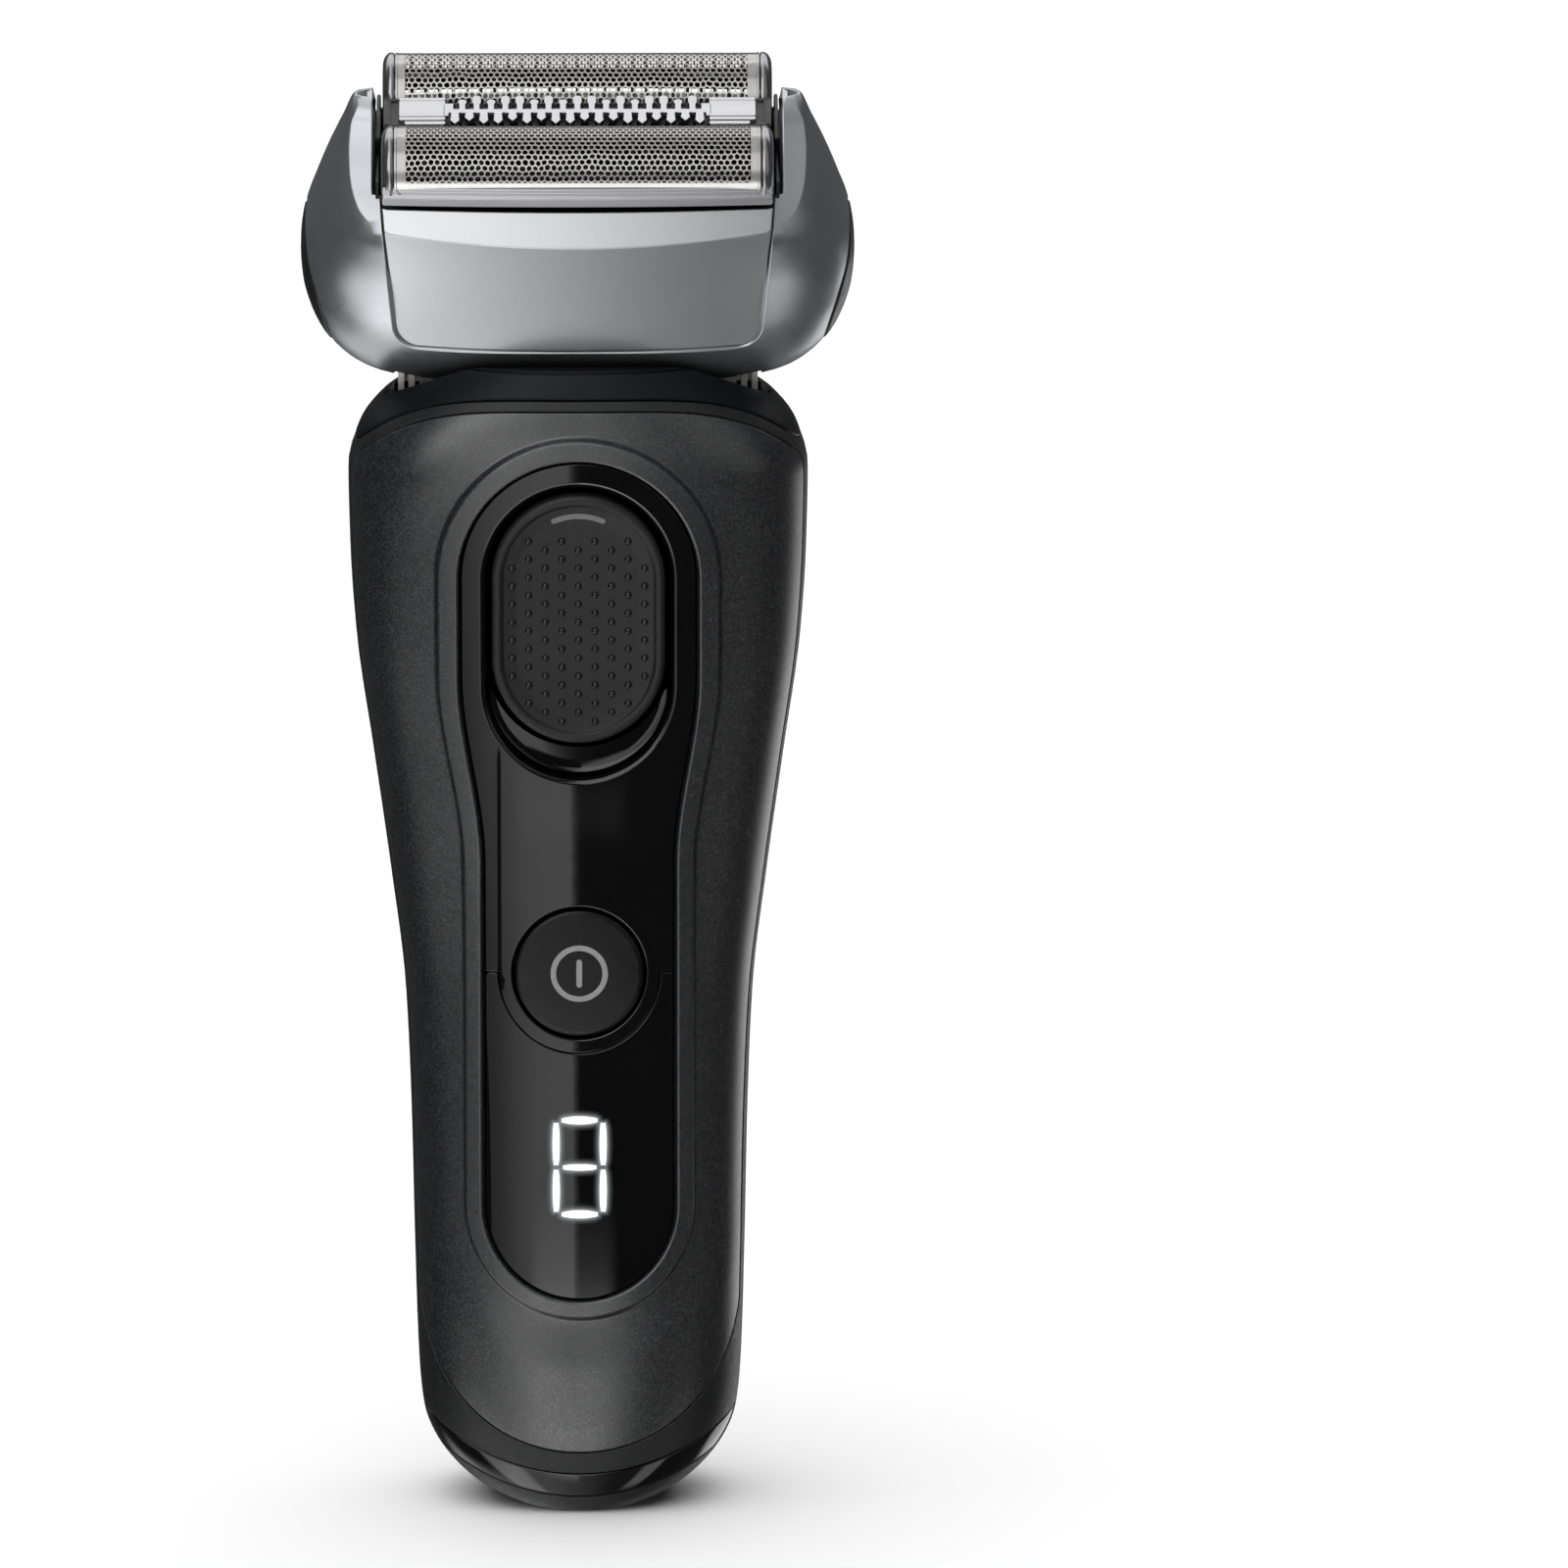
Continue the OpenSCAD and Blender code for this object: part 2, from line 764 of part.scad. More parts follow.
module motor_core() {
  color([0.48, 0.48, 0.50])
    in_head() {
      block([-10.6, -8.2, -10.4], [10.6, 8.2, -7.8]);
      block([-10.6, -8.2, -7.9], [-8.2, 8.2, -1.2]);
      block([-2.1, -8.2, -7.9], [2.1, 8.2, -1.2]);
      block([8.2, -8.2, -7.9], [10.6, 8.2, -1.2]);
    }
}

module motor_coil() {
  color([0.72, 0.38, 0.18])
    in_head()
      translate([0, 0, -7.6])
        linear_extrude(5.8)
          difference() {
            rounded_box(15.4, 21, 2);
            square([4.4, 16.6], center = true);
          }
}

module swivel_pins() {
  color([0.80, 0.80, 0.82])
    in_head()
      both_sides()
        translate([16.25, 0, 0]) rotate([0, 90, 0]) cylinder(h = 6.9, r = pin_radius);
}

// coil spring along +Z
module coil(r, wire, height, turns) {
  steps = 10 * turns;
  sides = 5;
  loft([
    for (s = [0 : steps])
      let (a = s * 36, z = height * s / steps)
        [for (i = [0 : sides - 1])
          let (b = -i * 360 / sides)
            [(r + wire * cos(b)) * cos(a), (r + wire * cos(b)) * sin(a), z + wire * sin(b)]]
  ]);
}

module release_springs() {
  color([0.75, 0.75, 0.77])
    in_head()
      both_sides()
        translate([24.5, 0, -3.4]) rotate([0, 90, 0]) coil(1.1, 0.22, 2.5, 4);
}

module release_button() {
  resize([0, 0, 0])
    difference() {
      intersection() {
        head_solid(0.1);
        translate([25.6, 0, release_z]) rotate([90, 0, 90])
          linear_extrude(30) scaled_oval(release_half_y, release_half_z);
      }
      translate([25, 0, -3.4]) rotate([0, 90, 0]) cylinder(h = 3.6, r = 1.7, $fn = 24);
    }
}

module release_right() {
  color([0.05, 0.05, 0.055]) in_head() release_button();
}

module release_left() {
  color([0.05, 0.05, 0.055]) in_head() mirror([1, 0, 0]) release_button();
}

module armature_front() {
  color([0.60, 0.61, 0.63])
    in_head() {
      block([-13, -11.0, 0], [13, -1.4, 1.6]);
      block([-1.6, -1.5, 0], [1.6, 0.8, 1.6]);
      block([-0.8, -0.8, 1.5], [0.8, 0.8, 7.2]);
      translate([0, -foil_y, 1.5]) cylinder(h = 5.5, r = 1.0);
    }
}

module armature_rear() {
  color([0.60, 0.61, 0.63])
    in_head() {
      block([-13, 1.6, 0], [13, 11.0, 1.6]);
      translate([0, foil_y, 1.5]) cylinder(h = 5.5, r = 1.0);
    }
}

module cassette_frame() {
  z0 = cassette_floor_z;
  color([0.05, 0.05, 0.055])
    in_head()
      difference() {
        union() {
          block([-23.1, -11.1, z0], [23.1, 11.1, z0 + 1.3]);
          block([-23.1, -11.1, z0], [-22.6, 11.1, 14.2]);
          block([22.6, -11.1, z0], [23.1, 11.1, 14.2]);
          block([-23.1, -11.1, z0], [23.1, -10.4, 10.0]);
          block([-23.1, 10.4, z0], [23.1, 11.1, 10.0]);
        }
        for (y = [-foil_y, foil_y])
          translate([0, y, 0]) block([-4.8, -2.4, 0], [4.8, 2.4, 6]);
        block([-4.2, -2.4, 0], [4.2, 2.4, 6]);
      }
}

module trim_rail() {
  side_prism(-22.4, 22.4)
    polygon([[-15.1, 10.05], [-10.2, 10.05], [-10.2, 10.3], [-14.65, 10.3], [-14.65, 12.7], [-15.1, 12.6]]);
}

module cassette_trim() {
  color([0.62, 0.62, 0.63])
    in_head() {
      trim_rail();
      rotate([0, 0, 180]) trim_rail();
    }
}

module float_springs() {
  color([0.75, 0.75, 0.77])
    in_head()
      both_sides()
        for (y = [-foil_y, 0, foil_y])
          translate([21.5, y, 5.15]) coil(0.7, 0.16, 1.5, 3);
}

module foil_arch() {
  translate([0, -foil_y, 0])
    side_prism(-foil_half, foil_half)
      difference() {
        union() {
          translate([0, foil_z]) circle(foil_radius);
          translate([-foil_radius, skirt_z + 0.05]) square([2 * foil_radius, foil_z - skirt_z - 0.05]);
        }
        translate([0, foil_z]) circle(foil_radius - foil_sheet);
        translate([-foil_radius + foil_sheet, foil_z - 8]) square([2 * (foil_radius - foil_sheet), 8]);
        translate([-foil_radius - 1, skirt_z - 7.95]) square([2 * foil_radius + 2, 8]);
      }
}

module foil_end_caps() {
  translate([0, -foil_y, 0])
    both_sides()
      side_prism(foil_half + eps, 22.4)
        union() {
          intersection() {
            translate([0, foil_z]) circle(foil_radius + 0.1);
            translate([-10, skirt_z]) square([20, 20]);
          }
          translate([-1.0, 8.2]) square([5.6, 4]);
        }
}

module foil_front() {
  color([0.78, 0.79, 0.80]) in_head() foil_arch();
}

module foil_rear() {
  color([0.78, 0.79, 0.80]) in_head() rotate([0, 0, 180]) foil_arch();
}

module foil_caps_front() {
  color([0.50, 0.50, 0.52]) in_head() foil_end_caps();
}

module foil_caps_rear() {
  color([0.50, 0.50, 0.52]) in_head() rotate([0, 0, 180]) foil_end_caps();
}

module cutter_block() {
  blade = 0.35;
  span = 38.4;
  translate([0, -foil_y, 0])
    difference() {
      union() {
        block([-19.4, -1.0, 8.2], [19.4, 2.4, skirt_z + 0.4]);
        block([-3.2, -1.0, 5.4], [3.2, 1.9, 8.3]);
        for (i = [0 : blade_count - 1])
          translate([-span / 2 + i * (span - blade) / (blade_count - 1), 0, 0])
            side_prism(0, blade)
              intersection() {
                translate([0, foil_z]) circle(foil_radius - foil_sheet - 0.15);
                translate([-10, skirt_z + 0.1]) square([20, 20]);
              }
      }
      block([-1.06, -1.2, 5], [1.06, 1.2, 8.7]);
    }
}

module cutter_front() {
  color([0.70, 0.71, 0.73]) in_head() cutter_block();
}

module cutter_rear() {
  color([0.70, 0.71, 0.73]) in_head() rotate([0, 0, 180]) cutter_block();
}

function comb_edge(count, tooth, root, tip, side) = [
  for (i = [0 : count - 1])
    let (x = side * (i - (count - 1) / 2) * tooth_pitch)
      each [
        [x - side * tooth / 2, side * root],
        [x - side * tooth / 2, side * (tip - 0.5)],
        [x, side * tip],
        [x + side * tooth / 2, side * (tip - 0.5)],
        [x + side * tooth / 2, side * root]
      ]
];

module trimmer_comb() {
  color([0.85, 0.86, 0.87])
    in_head()
      translate([0, 0, comb_z - 0.45])
        linear_extrude(0.45)
          difference() {
            polygon(concat(
              [[-20.6, -2.3]],
              comb_edge(17, 0.95, -2.3, -comb_half, 1),
              [[20.6, -2.3], [20.6, 2.3]],
              [for (p = comb_edge(17, 0.95, -2.3, -comb_half, 1)) [-p[0], -p[1]]],
              [[-20.6, 2.3]]
            ));
            for (i = [-8 : 7]) translate([(i + 0.5) * tooth_pitch, 0]) square([0.5, 2.6], center = true);
          }
}

module trimmer_blade() {
  color([0.66, 0.67, 0.69])
    in_head()
      difference() {
        union() {
          block([-13.6, -1.7, 14.05], [13.6, 1.7, 14.45]);
          for (i = [-8 : 8]) block([i * 1.6 - 0.4, -3.1, 14.05], [i * 1.6 + 0.4, 3.1, 14.45]);
          block([-1.9, -1.2, 5.6], [1.9, 1.2, 14.1]);
        }
        block([-0.88, -2, 5], [0.88, 2, 8.8]);
      }
}

module trimmer_holder() {
  color([0.04, 0.04, 0.045])
    in_head()
      difference() {
        union() {
          block([-22.2, -3.5, 7.7], [22.2, 3.5, 13.7]);
          both_sides() block([15.2, -3.5, 13.6], [22.2, 3.5, 14.5]);
        }
        block([-3.4, -1.7, 6], [3.4, 1.7, 15]);
      }
}

rear_housing();
front_cover();
collar();
base_band();
base_foot();
fascia();
display_window();
display_digit();
display_module();
collar_gasket();
inner_frame();
battery();
battery_tabs();
circuit_board();
board_components();
power_switch();
board_screws();
charge_socket();
charge_pins();
clean_contacts();
motor_lead();
swivel_yoke();
trimmer_rail();
power_button();
power_icon();
lock_slider();
slider_mark();
slider_latch();
trimmer_slide();
hair_comb();
hair_blade();
head_frame();
front_panel();
rear_panel();
head_chassis();
drive_seal();
motor_core();
motor_coil();
swivel_pins();
release_springs();
release_left();
release_right();
armature_front();
armature_rear();
cassette_frame();
cassette_trim();
float_springs();
foil_front();
foil_caps_front();
foil_rear();
foil_caps_rear();
cutter_front();
cutter_rear();
trimmer_holder();
trimmer_comb();
trimmer_blade();
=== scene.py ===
import math

import bmesh
import bpy
import numpy as np
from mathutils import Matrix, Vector
from mathutils.geometry import delaunay_2d_cdt

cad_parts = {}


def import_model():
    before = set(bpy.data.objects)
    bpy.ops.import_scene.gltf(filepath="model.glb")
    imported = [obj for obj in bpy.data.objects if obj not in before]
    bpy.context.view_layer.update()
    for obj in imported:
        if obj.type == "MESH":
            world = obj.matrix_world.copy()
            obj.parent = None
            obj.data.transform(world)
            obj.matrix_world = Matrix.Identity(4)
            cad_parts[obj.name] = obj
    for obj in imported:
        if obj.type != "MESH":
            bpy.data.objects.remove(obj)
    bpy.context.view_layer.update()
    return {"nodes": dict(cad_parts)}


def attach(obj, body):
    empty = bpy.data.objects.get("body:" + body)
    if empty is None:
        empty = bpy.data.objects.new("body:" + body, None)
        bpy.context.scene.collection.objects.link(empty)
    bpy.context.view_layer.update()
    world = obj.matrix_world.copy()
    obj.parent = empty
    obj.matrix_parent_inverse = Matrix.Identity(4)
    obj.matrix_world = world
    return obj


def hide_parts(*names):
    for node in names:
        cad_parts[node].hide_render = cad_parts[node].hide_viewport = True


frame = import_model()
nodes = frame["nodes"]
MM = 0.001

# ---------------- dimensions, in millimetres, as in the CAD
# height, half-width, depth to the front and to the back, exponent
HANDLE = [
    (0, 8.2, 11.8, 11.8, 2.1), (.8, 10.4, 12.7, 12.7, 2.2), (2.2, 12.6, 13.4, 13.4, 2.3),
    (4.4, 14.9, 14, 14, 2.4), (7, 16.8, 14.4, 14.4, 2.5), (10.2, 18.1, 14.8, 14.7, 2.6),
    (16, 18.7, 15.1, 15, 2.7), (30, 19.15, 15.6, 15.3, 2.7), (46, 19.5, 15.9, 15.6, 2.7),
    (60, 20.1, 16, 15.9, 2.7), (74, 21.75, 16.2, 16.4, 2.7), (88, 23.7, 16.7, 17.2, 2.7),
    (102, 25.65, 17.3, 18.2, 2.7), (112, 26.3, 17.6, 18.6, 2.7), (121.9, 26.5, 17.7, 18.4, 2.7),
    (124.2, 25.8, 17.5, 17.9, 2.7), (126.5, 25, 17.2, 17.2, 2.6), (128.7, 23.3, 16.9, 16.8, 2.5),
    (131.2, 20.6, 16.4, 16.4, 2.4), (134.3, 16.6, 15.4, 15.4, 2.3),
]
# height above the swivel axis, half-width, depth each way, exponent
HEAD = [
    (-17.35, 21.4, 1.2, 3), (-17.2, 22.4, 3.6, 3), (-16.2, 24.2, 7.2, 3), (-14.6, 26.2, 10.4, 3),
    (-12.4, 28.2, 13.1, 3), (-9.8, 29.9, 15.2, 3), (-7, 31, 16.5, 3), (-4.5, 31.6, 17.1, 3),
    (-1.5, 31.8, 17.5, 3), (1.5, 31.4, 17.7, 3), (5, 30.2, 17.7, 3), (8, 29.1, 16.6, 3),
    (10.9, 28, 14.6, 2.9), (13.5, 27, 12, 2.8), (15.6, 26.3, 8.8, 2.7), (16.8, 25.9, 5.8, 2.6),
    (17.4, 25.6, 3.2, 2.5), (17.6, 25.3, 1.0, 2.5),
]
PIVOT_Y, PIVOT_Z, TILT = 1.0, 148.4, math.radians(19)
BUTTON_Z, DIGIT_Z, SLIDER_Z, SLOPE = 64.2, 41.35, 105.9, math.radians(1.72)
PANEL_TOP, PANEL_LOW = 110.3, 36.7    # centres of the arcs that end the glossy panel
PANEL_WIDE, PANEL_NARROW = 13.7, 11.1  # and their radii
FOIL_Y, FOIL_Z, FOIL_R = 9.2, 12.0, 5.2
REACH = math.radians(99)  # how far each side of a foil goes round
SINK = .45  # how far the glossy panel lies below the cover
TURN = 20.0  # millimetres of surface coordinate per radian round the handle or head


def monotone(xs, ys):
    """Cubic through the points that never overshoots them."""
    xs, ys = np.array(xs, float), np.array(ys, float)
    h = np.diff(xs)
    d = np.diff(ys) / h
    m = np.zeros_like(ys)
    m[0], m[-1] = d[0], d[-1]
    for i in range(1, len(xs) - 1):
        if d[i - 1] * d[i] > 0:
            a, b = 2 * h[i] + h[i - 1], h[i] + 2 * h[i - 1]
            m[i] = (a + b) / (a / d[i - 1] + b / d[i])

    def at(x):
        x = np.clip(x, xs[0], xs[-1])
        i = np.clip(np.searchsorted(xs, x, side="right") - 1, 0, len(xs) - 2)
        t = (x - xs[i]) / h[i]
        return ((2 * t**3 - 3 * t**2 + 1) * ys[i] + (t**3 - 2 * t**2 + t) * h[i] * m[i]
                + (3 * t**2 - 2 * t**3) * ys[i + 1] + (t**3 - t**2) * h[i] * m[i + 1])

    return at


def profile(rows, column, sigma):
    """A section table as a fair curve of height."""
    z = [r[0] for r in rows]
    dense = np.arange(z[0], z[-1] + .05, .1)
    v = monotone(z, [r[column] for r in rows])(dense)
    k = int(4 * sigma / .1)
    w = np.exp(-.5 * (np.arange(-k, k + 1) * .1 / sigma) ** 2)
    ends = 2 * v[0] - v[k:0:-1], 2 * v[-1] - v[-2:-k - 2:-1]
    v = np.convolve(np.concatenate([ends[0], v, ends[1]]), w / w.sum(), "valid")
    return lambda q: np.interp(q, dense, v)


H_WIDE, H_FRONT, H_BACK, H_EXP = (profile(HANDLE, c, .8) for c in (1, 2, 3, 4))
T_WIDE, T_DEEP, T_EXP = (profile(HEAD, c, .35) for c in (1, 2, 3))


def pack(*axes):
    """Points from their coordinates; a plain number stands for all of them."""
    return np.stack(np.broadcast_arrays(*axes), -1)


def smooth(t):
    t = np.clip(t, 0, 1)
    return t * t * (3 - 2 * t)


def ring(theta, wide, front, back, n):
    """A rounded section round the vertical axis: half-width, depths to front and back, and exponent."""
    c, s = np.cos(theta), np.sin(theta)
    r = (np.abs(c / wide) ** n + np.abs(s / np.where(s < 0, front, back)) ** n) ** (-1 / n)
    return r * c, r * s


HANDLE_FORM = H_WIDE, H_FRONT, H_BACK, H_EXP
HEAD_FORM = T_WIDE, T_DEEP, T_DEEP, T_EXP


def section(form, z):
    """What ring() needs at those heights."""
    return [curve(z) for curve in form]


def tube(form):
    """A form's surface, over angle times TURN and height."""
    def at(p, q):
        return pack(*ring(p / TURN, *section(form, q)), q)
    return at


def depth(form, x, z, back=False):
    """How far in front of the middle, or behind it, a form's surface is."""
    wide, front, rear, n = section(form, z)
    return (rear if back else front) * np.maximum(1 - np.minimum(np.abs(x / wide), .9999) ** n, 1e-9) ** (1 / n)


def onto(form):
    """Front-view points (x, z) to coordinates on a form's surface."""
    def at(xz, back=False):
        x, z = np.asarray(xz, float).T
        return pack(np.arctan2(depth(form, x, z, back) * (1 if back else -1), x) * TURN, z)
    return at


handle, head = tube(HANDLE_FORM), tube(HEAD_FORM)
on_handle, on_head = onto(HANDLE_FORM), onto(HEAD_FORM)


def handle_x(p, q):
    return ring(p / TURN, *section(HANDLE_FORM, q))[0]


def lifted(surf, lift):
    """surf moved along its own normal by lift(p, q)."""
    def at(p, q):
        p, q = np.asarray(p, float), np.asarray(q, float)
        n = spot(surf, pack(p, q))[3]
        return surf(p, q) + n * np.broadcast_to(lift(p, q), p.shape)[..., None]
    return at


def unit(v):
    return v / np.maximum(np.linalg.norm(v, axis=-1, keepdims=True), 1e-12)


def spot(surf, pq, e=.12):
    """Points of a surface, its two tangents there and its normal."""
    p, q = pq[..., 0], pq[..., 1]
    du = (surf(p + e, q) - surf(p - e, q)) / (2 * e)
    dv = (surf(p, q + e) - surf(p, q - e)) / (2 * e)
    return surf(p, q), du, dv, unit(np.cross(du, dv))


def even(points, step, closed=True):
    """The same line with its points at most step apart."""
    pts = np.asarray(points, float)
    if closed:
        pts = np.vstack([pts, pts[:1]])
    out = []
    for a, b in zip(pts[:-1], pts[1:]):
        k = max(1, int(math.ceil(np.linalg.norm(b - a) / step)))
        out += [a + (b - a) * i / k for i in range(k)]
    if not closed:
        out.append(pts[-1])
    return np.array(out)


def path(step, *points):
    """An open line through the points, cut into steps."""
    return even(points, step, False)


def circle(k):
    """k angles round a full turn."""
    return np.linspace(0, 2 * math.pi, k, endpoint=False)


def arc(cx, cz, r, a0, a1, k):
    t = np.radians(np.linspace(a0, a1, k))
    return pack(cx + r * np.cos(t), cz + r * np.sin(t))


def rounded(points, radius, k=6):
    """A polygon with its corners rounded; radius is one number or one per corner."""
    pts = np.asarray(points, float)
    rad = np.broadcast_to(radius, (len(pts),))
    out = []
    for i in range(len(pts)):
        a, b, c = pts[i - 1], pts[i], pts[(i + 1) % len(pts)]
        u, v = unit(a - b), unit(c - b)
        half = math.acos(max(-1, min(1, float(u @ v)))) / 2
        if rad[i] < 1e-6 or half > math.pi / 2 - .02:
            out.append(b)
            continue
        d = min(rad[i] / math.tan(half), .49 * np.linalg.norm(a - b), .49 * np.linalg.norm(c - b))
        r = d * math.tan(half)
        centre = b + unit(u + v) * r / math.sin(half)
        s, e = b + u * d - centre, b + v * d - centre
        a0, a1 = math.atan2(s[1], s[0]), math.atan2(e[1], e[0])
        turn = (a1 - a0 + math.pi) % (2 * math.pi) - math.pi
        for j in range(k + 1):
            w = a0 + turn * j / k
            out.append(centre + r * np.array([math.cos(w), math.sin(w)]))
    return np.array(out)


def rectangle(x0, z0, x1, z1, radius, step=.5):
    """Anticlockwise, with rounded corners."""
    return even(rounded([(x0, z0), (x1, z0), (x1, z1), (x0, z1)], radius), step)


def inside(pts, loops):
    """Which points an odd number of the loops goes round."""
    hit = np.zeros(len(pts), bool)
    for loop in loops:
        a, b = loop, np.roll(loop, -1, 0)
        for s in range(0, len(pts), 4000):
            x, y = pts[s:s + 4000, 0:1], pts[s:s + 4000, 1:2]
            rise = np.where(b[:, 1] == a[:, 1], 1e-12, b[:, 1] - a[:, 1])
            cross = ((a[:, 1] > y) != (b[:, 1] > y)) & (x < (b[:, 0] - a[:, 0]) * (y - a[:, 1]) / rise + a[:, 0])
            hit[s:s + 4000] ^= (cross.sum(1) % 2).astype(bool)
    return hit


def far_from(pts, others, d):
    """Which points have none of the others within d."""
    keep = np.ones(len(pts), bool)
    for s in range(0, len(pts), 2000):
        g = pts[s:s + 2000, None] - others[None]
        keep[s:s + 2000] = (g**2).sum(-1).min(1) > d * d
    return keep


def between(a, b):
    """Quads from one ring of point numbers to the next."""
    return list(zip(a, b, np.roll(b, -1), np.roll(a, -1)))


def plate(surf, loops, r=.2, depth=1.0, pitch=.9, rings=(), k=4, bores={}):
    """A sheet on surf inside the first loop and outside the others, with rounded edges and walls.
    The first loop runs anticlockwise and the others clockwise. A wall follows the surface's normal,
    or the outward direction that bores gives for its loop. Returns points, faces, normals."""
    radii = r if isinstance(r, (list, tuple)) else [r] * len(loops)
    flat, edge = [], []
    for loop, rad in zip(loops, radii):
        pos, du, dv, n = spot(surf, loop)
        t = unit(np.roll(pos, -1, 0) - np.roll(pos, 1, 0))
        b = unit(np.cross(t, n))
        rad = np.broadcast_to(np.asarray(rad, float), (len(loop),))
        a11, a12, a22 = (du * du).sum(-1), (du * dv).sum(-1), (dv * dv).sum(-1)
        r1, r2 = -rad * (b * du).sum(-1), -rad * (b * dv).sum(-1)
        det = np.maximum(a11 * a22 - a12**2, 1e-9)
        flat.append(loop + pack((a22 * r1 - a12 * r2) / det, (a11 * r2 - a12 * r1) / det))
        edge.append((b, rad))
    lines = np.vstack([*flat, *rings])
    lo, hi = flat[0].min(0), flat[0].max(0)
    gx, gy = np.meshgrid(np.arange(lo[0], hi[0], pitch), np.arange(lo[1], hi[1], pitch * .866))
    gx = gx + (np.arange(len(gx)) % 2)[:, None] * pitch / 2
    grid = pack(gx.ravel(), gy.ravel())
    grid = grid[inside(grid, flat)]
    if len(grid):
        grid = grid[far_from(grid, lines, pitch * .5)]
    coords, edges = [], []
    for number, line in enumerate([*flat, *rings]):
        s, m = len(coords), len(line)
        coords += list(line)
        edges += [(s + i, s + (i + 1) % m) for i in range(m if number < len(flat) else m - 1)]
    out = delaunay_2d_cdt([Vector(c) for c in [*coords, *grid]], edges, [], 0, 1e-7, True)
    pq = np.array([tuple(c) for c in out[0]])
    where = {source: i for i, sources in enumerate(out[3]) for source in sources}
    tri = np.array([f for f in out[2] if len(f) == 3])
    a, b, c = pq[tri[:, 0]], pq[tri[:, 1]], pq[tri[:, 2]]
    area = (b[:, 0] - a[:, 0]) * (c[:, 1] - a[:, 1]) - (b[:, 1] - a[:, 1]) * (c[:, 0] - a[:, 0])
    tri = tri[np.abs(area) > 1e-9]
    tri = tri[inside(pq[tri].mean(1), flat)]
    pos, _, _, n = spot(surf, pq)
    away, deep = n, len(pos)
    for number, direction in bores.items():
        reach = np.array([np.linalg.norm(flat[number] - c, axis=1).min() for c in pq])
        near = (1 - smooth(reach / 3))[:, None]
        away = unit(away * (1 - near) + np.array(direction) * near)
    verts, normals = [pos, pos - away * depth], [n, -n]
    faces = [tuple(t) for t in tri] + [(t[0] + deep, t[2] + deep, t[1] + deep) for t in tri]
    count, s = 2 * deep, 0
    for number, (f, (b, rad)) in enumerate(zip(flat, edge)):
        m = len(f)
        first = last = np.array([where[s + i] for i in range(m)])
        base, _, _, nn = spot(surf, f)
        outward = np.array(bores[number], float) if number in bores else nn
        for j in range(1, k + 2):
            w = math.pi / 2 * j / k
            if j <= k:
                verts.append(base + b * rad[:, None] * math.sin(w) - nn * rad[:, None] * (1 - math.cos(w)))
                normals.append(nn * math.cos(w) + b * math.sin(w))
            else:
                verts.append(base + b * rad[:, None] - outward * depth)
                normals.append(b)
            now = count + np.arange(m)
            count += m
            faces += between(last, now)
            last = now
        faces += between(last, first + deep)
        s += m
    return np.vstack(verts), faces, np.vstack(normals)


def together(parts):
    """One part from several; a part without normals stands with zeros."""
    v, f, n, s = [], [], [], 0
    for pv, pf, pn in parts:
        v.append(pv)
        n.append(np.zeros_like(pv) if pn is None else pn)
        f += [tuple(int(i) + s for i in face) for face in pf]
        s += len(pv)
    return np.vstack(v), f, np.vstack(n)


def turned(part, angle=TILT, y=PIVOT_Y, z=PIVOT_Z):
    """From the head's own frame, or the slider's, to the row frame."""
    c, s = math.cos(angle), math.sin(angle)
    m = np.array([[1, 0, 0], [0, c, -s], [0, s, c]])
    v, f, n = part
    return v @ m.T + np.array([0, y, z]), f, None if n is None else n @ m.T


def flipped(part, *signs):
    v, f, n = part
    return v * signs, f, None if n is None else n * signs


def spun(part):
    """Half a turn about the vertical axis."""
    return flipped(part, -1, -1, 1)


def mirrored(part):
    v, f, n = flipped(part, -1, 1, 1)
    return v, [g[::-1] for g in f], n


def grid_part(pos, closed=True):
    """Quads over a grid of points (rows, columns, 3), closed round each row or open."""
    rows, cols = pos.shape[:2]
    faces = [(i + j, i + (j + 1) % cols, i + cols + (j + 1) % cols, i + cols + j)
             for i in range(0, (rows - 1) * cols, cols) for j in range(cols if closed else cols - 1)]
    return pos.reshape(-1, 3), faces, None


def show(name, data, finish=None):
    """A new object in the scene."""
    if finish:
        data.materials.append(finish)
    obj = bpy.data.objects.new(name, data)
    bpy.context.scene.collection.objects.link(obj)
    return obj


def fan(rows, tip):
    """A closed grid whose last row is filled in to one point."""
    v, f, _ = grid_part(np.array(rows))
    s, m = len(v) - len(rows[-1]), len(rows[-1])
    return np.vstack([v, [tip]]), f + [(s + j, s + (j + 1) % m, s + m) for j in range(m)], None


def build(name, parts, finish, body, replaced=(), angle=40):
    """One piece from its parts. Parts with normals keep them; the others are shaded by angle."""
    parts = parts if isinstance(parts, list) else [parts]
    given = all(p[2] is not None for p in parts)
    v, f, n = together(parts)
    mesh = bpy.data.meshes.new(name)
    mesh.from_pydata([tuple(c) for c in v * MM], [], f)
    mesh.validate()
    mesh.polygons.foreach_set("use_smooth", np.ones(len(mesh.polygons), bool))
    if given and len(mesh.vertices) == len(v):
        mesh.normals_split_custom_set_from_vertices([tuple(c) for c in n])
    else:
        bm = bmesh.new()
        bm.from_mesh(mesh)
        bmesh.ops.recalc_face_normals(bm, faces=bm.faces)
        bm.to_mesh(mesh)
        bm.free()
        mesh.set_sharp_from_angle(angle=math.radians(angle))
    obj = show(name, mesh, FINISH[finish])
    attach(obj, body)
    if replaced:
        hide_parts(*replaced)
    return obj


# ---------------- materials
FINISH = {}


